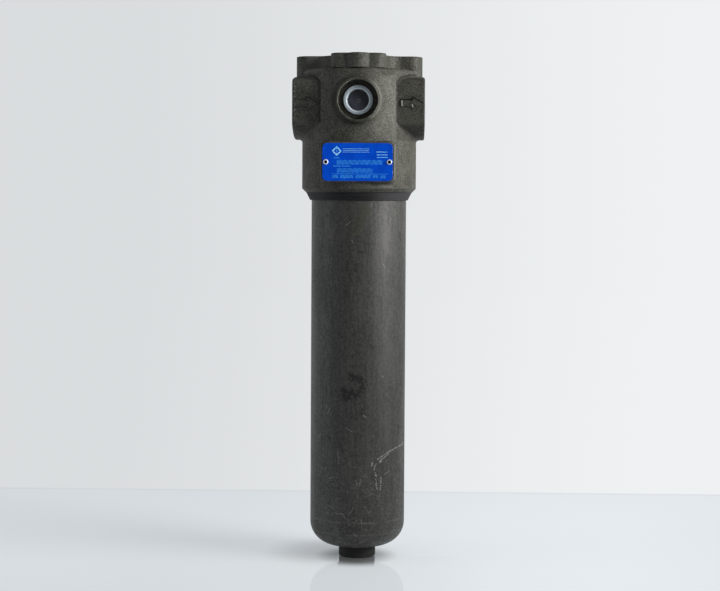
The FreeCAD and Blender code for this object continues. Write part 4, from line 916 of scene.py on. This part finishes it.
def cap_finish():
    """Tinned sheet: soft spangle, drawn lines and a thin film of oil."""
    tin = Finish("cap_steel")
    edge = tin.edges(0.3 * MM)
    spangle = tin.step(tin.grains(3.5 * MM), 0.1, 0.55)
    film = tin.patches(9.0 * MM, 3.0, 0.4, 0.7)
    colour = tin.mix(spangle, (0.54, 0.54, 0.53), (0.66, 0.66, 0.64))
    colour = tin.mix(tin.product(film, 0.5), colour, (0.5, 0.46, 0.36))
    tin.set(Base_Color=colour, Metallic=0.95)
    tin.set(Roughness=tin.total(tin.fade(spangle, 0.3, 0.4), tin.product(edge, -0.06)))
    tin.relief(tin.sum_of((spangle, 0.01), (tin.noise(12.0 * MM, 2.0), 0.12)))
    return tin.material


def medium_finish():
    """Folded glass-fibre fleece under a fine support mesh: matted fibres and mesh lines."""
    fleece = Finish("filter_medium")
    fibres = fleece.noise(0.5 * MM, 4.0, fleece.stretched(1.0, 1.0, 0.4))
    stain = fleece.patches(30.0 * MM, 3.0, 0.4, 0.75)
    mesh_lines = fleece.step(fleece.size(fleece.wave(fleece.z, 3.0 * MM)), 0.0, 0.3, 1.0, 0.0)
    colour = fleece.mix(fleece.step(fibres, 0.3, 0.7), (0.74, 0.73, 0.66), (0.88, 0.87, 0.83))
    colour = fleece.mix(fleece.product(stain, 0.4), colour, (0.62, 0.54, 0.36))
    colour = fleece.mix(fleece.product(mesh_lines, 0.3), colour, (0.55, 0.55, 0.52))
    fleece.set(Base_Color=colour, Roughness=fleece.fade(stain, 0.85, 0.6), Sheen_Weight=0.1)
    fleece.relief(fleece.sum_of((fibres, 0.12), (mesh_lines, 0.08)))
    return fleece.material


def thread_finish():
    """Cut thread flanks: brighter than the skin beside them, with dark oil in patches."""
    steel = Finish("cut_thread")
    edge = steel.edges(0.15 * MM)
    dirt = steel.patches(2.0 * MM, 3.0, 0.4, 0.7)
    colour = steel.mix(dirt, (0.13, 0.13, 0.128), (0.05, 0.048, 0.044))
    colour = steel.mix(steel.product(edge, 0.5), colour, (0.32, 0.32, 0.31))
    steel.set(Base_Color=colour, Metallic=0.5, Roughness=steel.fade(dirt, 0.3, 0.45))
    steel.relief(steel.product(steel.noise(0.4 * MM, 2.0), 0.02))
    return steel.material


def closed_grid(points, capped=True):
    """Vertices and faces of a tube of points (row, column): columns go round, rows go along. A capped
    tube has a face at each end, and one that isn't runs back into its first row."""
    rows, columns = points.shape[:2]
    number = np.arange(rows * columns).reshape(rows, columns)
    beside = np.roll(number, -1, axis=1)
    if capped:
        here, next_here = number[:-1], number[1:]
        there, next_there = beside[:-1], beside[1:]
    else:
        here, next_here = number, np.roll(number, -1, axis=0)
        there, next_there = beside, np.roll(beside, -1, axis=0)
    faces = np.stack([here, there, next_there, next_here], axis=-1).reshape(-1, 4).tolist()
    if capped:
        faces += [number[0, ::-1].tolist(), number[-1].tolist()]
    return points.reshape(-1, 3), faces


def turned_outwards(vertices, faces):
    """The faces, turned over if the closed surface's volume comes out negative."""
    fan = [(f[0], f[i], f[i + 1]) for f in faces for i in range(1, len(f) - 1)]
    first, second, third = (vertices[index] for index in np.array(fan).T)
    volume = np.einsum("ij,ij->i", first, np.cross(second, third)).sum()
    return [face[::-1] for face in faces] if volume < 0 else faces


def piece(name, tubes, body, material):
    """One object of several closed surfaces, in place, riding on its body."""
    vertices, faces, count = [], [], 0
    for points, capped in tubes:
        found, found_faces = closed_grid(points, capped)
        faces += [[index + count for index in face] for face in turned_outwards(found, found_faces)]
        vertices.append(found)
        count += len(found)
    mesh = bpy.data.meshes.new(name)
    mesh.from_pydata(np.concatenate(vertices), [], faces)
    mesh.materials.append(material)
    made = bpy.data.objects.new(name, mesh)
    scene.collection.objects.link(made)
    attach(made, body)
    return made


def helical_ridge(centre, axis, length, base_r, crest_r, pitch, steps=72):
    """A right-hand thread's ridge. At turn t its middle is centre + axis * pitch * t, at the angle 2 pi t
    round the axis, and across it the radius goes base, crest, crest, base. It runs out at both ends."""
    turns = length / pitch - 1.0
    turn = np.linspace(0.0, turns, int(turns * steps) + 1)
    angle = 2 * np.pi * turn
    height = np.clip(np.minimum(turn, turns - turn) / 0.4, 0.03, 1.0)
    across = np.array([-0.44, -0.09, 0.09, 0.44]) * pitch
    radius = base_r + (crest_r - base_r) * height[:, None] * np.array([0.0, 1.0, 1.0, 0.0])
    along = pitch * (turn[:, None] + 0.5) + across
    first, second = (axis + 1) % 3, (axis + 2) % 3
    points = np.zeros((len(turn), 4, 3))
    points[:, :, axis] = along
    points[:, :, first] = radius * np.cos(angle)[:, None]
    points[:, :, second] = radius * np.sin(angle)[:, None]
    return points + np.array(centre), True


def stroke(path, width, closed):
    """A flat printed stroke in the plate's plane: at each corner the path is moved to both sides along
    the corner's own bisector, and the four edges of the stroke's section run through those places."""
    path = np.array(path, float)
    before = path - np.roll(path, 1, axis=0)
    after = np.roll(path, -1, axis=0) - path
    if not closed:
        before[0], after[-1] = after[0], before[-1]
    before /= np.linalg.norm(before, axis=1)[:, None]
    after /= np.linalg.norm(after, axis=1)[:, None]
    normal_before = np.stack([-before[:, 1], before[:, 0]], axis=1)
    normal_after = np.stack([-after[:, 1], after[:, 0]], axis=1)
    bisector = normal_before + normal_after
    bisector /= (bisector * normal_after).sum(axis=1)[:, None]
    left, right = path + bisector * width / 2, path - bisector * width / 2
    front, back = PLATE_FRONT_Y - PRINT_HEIGHT, PLATE_FRONT_Y + PRINT_HEIGHT
    corners = [np.stack([side[:, 0], np.full(len(path), y), side[:, 1]], axis=1)
               for side, y in ((left, back), (left, front), (right, front), (right, back))]
    points = np.stack(corners, axis=1)
    return points + np.array([PLATE_CENTRE_X, 0.0, PLATE_CENTRE_Z]), not closed


def plate_print():
    """The print of a blank type plate: short bars, rows of empty letter cells, one rule and the plain
    diamond with a broken line that is the drawing sign for any filter."""
    strokes = [([(left, height), (right, height)], width, False)
               for width, bars in ((THICK_LINE, SMALL_BARS), (THIN_LINE, BAND_BARS + [RULE]))
               for height, left, right in bars]
    for middle, tall, left, wide, pitch, groups in (LONG_CELLS, SHORT_CELLS, LAST_CELLS):
        for count in groups:
            for index in range(count):
                x = left + index * pitch
                shut, open_end = (middle + tall / 2, middle - tall / 2)[::1 if index % 2 else -1]
                cell = [(x, open_end), (x, shut), (x + wide, shut), (x + wide, open_end)]
                strokes.append((cell, THIN_LINE, False))
            left += (count + 1) * pitch
    x, z = SIGN_AT
    reach = SIGN_REACH
    strokes.append(([(x - reach, z), (x, z + reach), (x + reach, z), (x, z - reach)], SIGN_LINE, True))
    for share in SIGN_DASHES:
        low, high = z + reach * (share - SIGN_DASH_HALF), z + reach * (share + SIGN_DASH_HALF)
        strokes.append(([(x, low), (x, high)], THICK_LINE, False))
    tubes = [stroke(np.array(path) * MM, width * MM, closed) for path, width, closed in strokes]
    return piece("plate_print", tubes, "head", plate_print_finish())


def screw_threads():
    """Ridges on the bowl's neck, in the open inlet and in the four mounting holes."""
    cut = thread_finish()
    along_x, along_z = 0, 2
    thread_z = HEAD_FACE_Z + 1.0 * MM
    ridge = helical_ridge((0, 0, thread_z), along_z, BOWL_THREAD_LENGTH, BOWL_THREAD_R - HAIR,
                          BOWL_THREAD_CREST_R, BOWL_PITCH, 96)
    piece("bowl_thread", [ridge], "screwed_bowl", cut)

    inlet_x = -PORT_FACE_X + PORT_MOUTH_X
    ridge = helical_ridge((inlet_x, 0, PORT_Z), along_x, PORT_THREAD_LENGTH, PORT_BORE_R + HAIR,
                          PORT_BORE_R - 0.45 * MM, PORT_PITCH)
    piece("inlet_thread", [ridge], "head", cut)

    bottom = PAD_TOP_Z - 0.5 * MM - MOUNT_THREAD_LENGTH
    places = [(MOUNT_R, 0), (0, MOUNT_R), (-MOUNT_R, 0), (0, -MOUNT_R)]
    ridges = [helical_ridge((x, y, bottom), along_z, MOUNT_THREAD_LENGTH, MOUNT_HOLE_R + HAIR,
                            MOUNT_HOLE_R - 0.3 * MM, MOUNT_PITCH, 36) for x, y in places]
    piece("mounting_hole_threads", ridges, "head", cut)


def squeeze_spring():
    """Gives the bypass valve's spring its own copy of its mesh."""
    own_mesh(nodes["bypass_valve_spring"])


def dress_nodes():
    """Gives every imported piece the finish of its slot."""
    finishes = {
        "cast_head": cast_head_finish(), "bowl_steel": bowl_finish(), "blue_plate": blue_plate_finish(),
        "rivet_metal": rivet_finish(), "plug_plastic": plug_finish(), "seal_rubber": rubber_finish(),
        "backup_plastic": backup_ring_finish(), "plated_steel": plated_steel_finish(),
        "spring_steel": spring_finish(), "cap_steel": cap_finish(), "filter_medium": medium_finish(),
    }
    for part in frame["record"]["subparts"]:
        packed = nodes[part["node"]]
        material = finishes[part["material_slot"]]
        if not packed.material_slots:
            packed.data.materials.append(material)
        for held in packed.material_slots:
            held.material = material


def seen_rays(formula):
    """1 for rays from the camera and for mirrored and see-through ones, 0 for the light that falls on
    things; and the Light Path node itself."""
    path = formula.node("ShaderNodeLightPath")
    return formula.most(path.outputs["Is Camera Ray"], path.outputs["Is Glossy Ray"],
                        path.outputs["Is Transmission Ray"]), path


def room():
    """A pale room: what is seen of it goes from grey at the left to near white at the right, and the
    mirrored part behind the camera and overhead is dimmer. The light it gives is low and even."""
    world = scene.world or bpy.data.worlds.new("room")
    scene.world = world
    world.use_nodes = True
    air = Formula(world.node_tree)
    seen, path = seen_rays(air)
    x, y, z = air.parts(air.node("ShaderNodeTexCoord").outputs["Generated"])
    rightwards = air.step(x, *PALE_SIDES)
    pale = air.mix(rightwards, PALE_LEFT, PALE_RIGHT)
    behind = air.step(y, -0.5, 0.75, 0.10, 1.0)
    overhead = air.step(z, 0.15, 0.7, 1.0, 0.25)
    dim = air.mix(rightwards, PALE_LEFT, DIM_RIGHT)
    mirrored = air.mix(air.product(behind, overhead), (0.0, 0.0, 0.0), dim)
    shown = air.mix(path.outputs["Is Camera Ray"], mirrored, pale)
    seen_room = air.node("ShaderNodeBackground")
    air.feed(seen_room.inputs["Color"], shown)
    lighting = air.node("ShaderNodeBackground")
    lighting.inputs["Color"].default_value = ROOM_TINT
    lighting.inputs["Strength"].default_value = ROOM_LIGHT
    chosen = air.blend_shaders(seen, lighting.outputs[0], seen_room.outputs[0])
    air.feed(air.node("ShaderNodeOutputWorld").inputs["Surface"], chosen)


def table_finish():
    """A pale table top that keeps the filter's shadow and mirrors its foot, with the plain backdrop beyond
    its back edge. Most of its brightness is a glow, which is dimmer under the bowl, where a real table
    would get less light. The mirror is only in front of the filter, so that no lamp glares in it."""
    top = Finish("table_top")
    seen = seen_rays(top)[0]
    side = top.calc("DIVIDE", top.x, top.most(top.total(top.y, CAMERA_DISTANCE), 0.2))
    near_stub, behind_left = [top.from_axis(top.less(top.x, x), top.less(top.y, y))
                              for x, y in (SHADE_AT, FAR_SHADE_AT)]
    under = top.product(top.step(near_stub, *SHADE_REACH, 0.50, 1.0),
                        top.step(behind_left, *FAR_SHADE_REACH, 0.74, 1.0))
    # The crease at the back edge dims the glow a little: painted shade.
    crease = top.near(top.y, TABLE_EDGE_Y, 2.0 * MM, 9.0 * MM)
    top.set(Base_Color=top.mix(under, SHADED_TABLE_COLOUR, TABLE_COLOUR), Roughness=0.55)
    top.set(Specular_IOR_Level=0.0)

    # The glow is brighter towards the right as painted light, and dimmer under the bowl as painted shade.
    glow = top.node("ShaderNodeEmission")
    top.feed(glow.inputs["Color"], (*TABLE_GLOW, 1.0))
    top.feed(glow.inputs["Strength"], top.product(seen, under, top.step(side, -0.15, 0.2, *GLOW_LEFT_RIGHT),
                                                  top.inverse(top.product(crease, 0.12))))
    lit = top.node("ShaderNodeAddShader")
    top.feed(lit.inputs[0], top.shader.outputs["BSDF"])
    top.feed(lit.inputs[1], glow.outputs[0])

    mirror = top.node("ShaderNodeBsdfGlossy")
    mirror.inputs["Color"].default_value = (0.98, 0.99, 1.0, 1.0)
    mirror.inputs["Roughness"].default_value = 0.03
    from_foot = top.from_axis(top.x, top.y)
    aside = top.size(top.x)
    polishes = [top.product(top.step(from_foot, *reach, share, 0.0), top.step(aside, *half_width, 1.0, 0.0))
                for share, reach, half_width in (STUB_MIRROR, BOWL_MIRROR)]
    polish = top.product(top.total(*polishes), top.step(top.y, -10.0 * MM, 0.0, 1.0, 0.0))
    polished = top.blend_shaders(polish, lit.outputs[0], mirror.outputs[0])

    backdrop = top.node("ShaderNodeEmission")
    top.feed(backdrop.inputs["Color"], top.mix(top.step(side, *PALE_SIDES), PALE_LEFT, PALE_RIGHT))
    beyond = top.step(top.y, TABLE_EDGE_Y - 4.0 * MM, TABLE_EDGE_Y + 4.0 * MM)
    top.feed(top.surface, top.blend_shaders(top.product(beyond, seen), polished, backdrop.outputs[0]))
    return top.material


def table():
    """A flat square table top at the height of the stub's end."""
    reach = TABLE_HALF
    corners = [(-reach, -reach, 0), (reach, -reach, 0), (reach, reach, 0), (-reach, reach, 0)]
    mesh = bpy.data.meshes.new("table")
    mesh.from_pydata(corners, [], [(0, 1, 2, 3)])
    mesh.materials.append(table_finish())
    made = bpy.data.objects.new("table", mesh)
    scene.collection.objects.link(made)


def soft_light(name, azimuth, distance, height, aim_z, width, tall, spread, power, tint):
    """A flat soft light, facing a height of the filter. Azimuth 0 is the front and 90 the right, and the
    spread in degrees is how far to its sides it shines."""
    lamp = bpy.data.lights.new(name, "AREA")
    lamp.shape = "RECTANGLE"
    lamp.size = width
    lamp.size_y = tall
    lamp.energy = power
    lamp.spread = math.radians(spread)
    lamp.color = tint
    made = bpy.data.objects.new(name, lamp)
    scene.collection.objects.link(made)
    turn = math.radians(azimuth)
    made.location = (math.sin(turn) * distance, -math.cos(turn) * distance, height)
    aim = Vector((0, 0, aim_z)) - made.location
    made.rotation_mode = "QUATERNION"
    made.rotation_quaternion = aim.to_track_quat("-Z", "Y")


place_camera()
dress_nodes()
squeeze_spring()
plate_print()
screw_threads()
room()
table()
soft_light("right_light", azimuth=70, distance=1.15, height=0.64, aim_z=0.46, width=0.8, tall=0.4, spread=58,
           power=2.75, tint=(1.0, 0.99, 0.97))
soft_light("left_light", azimuth=-78, distance=1.6, height=0.5, aim_z=0.24, width=0.8, tall=1.0, spread=180,
           power=3.1, tint=(0.96, 0.98, 1.0))
scene.view_settings.view_transform = "Standard"
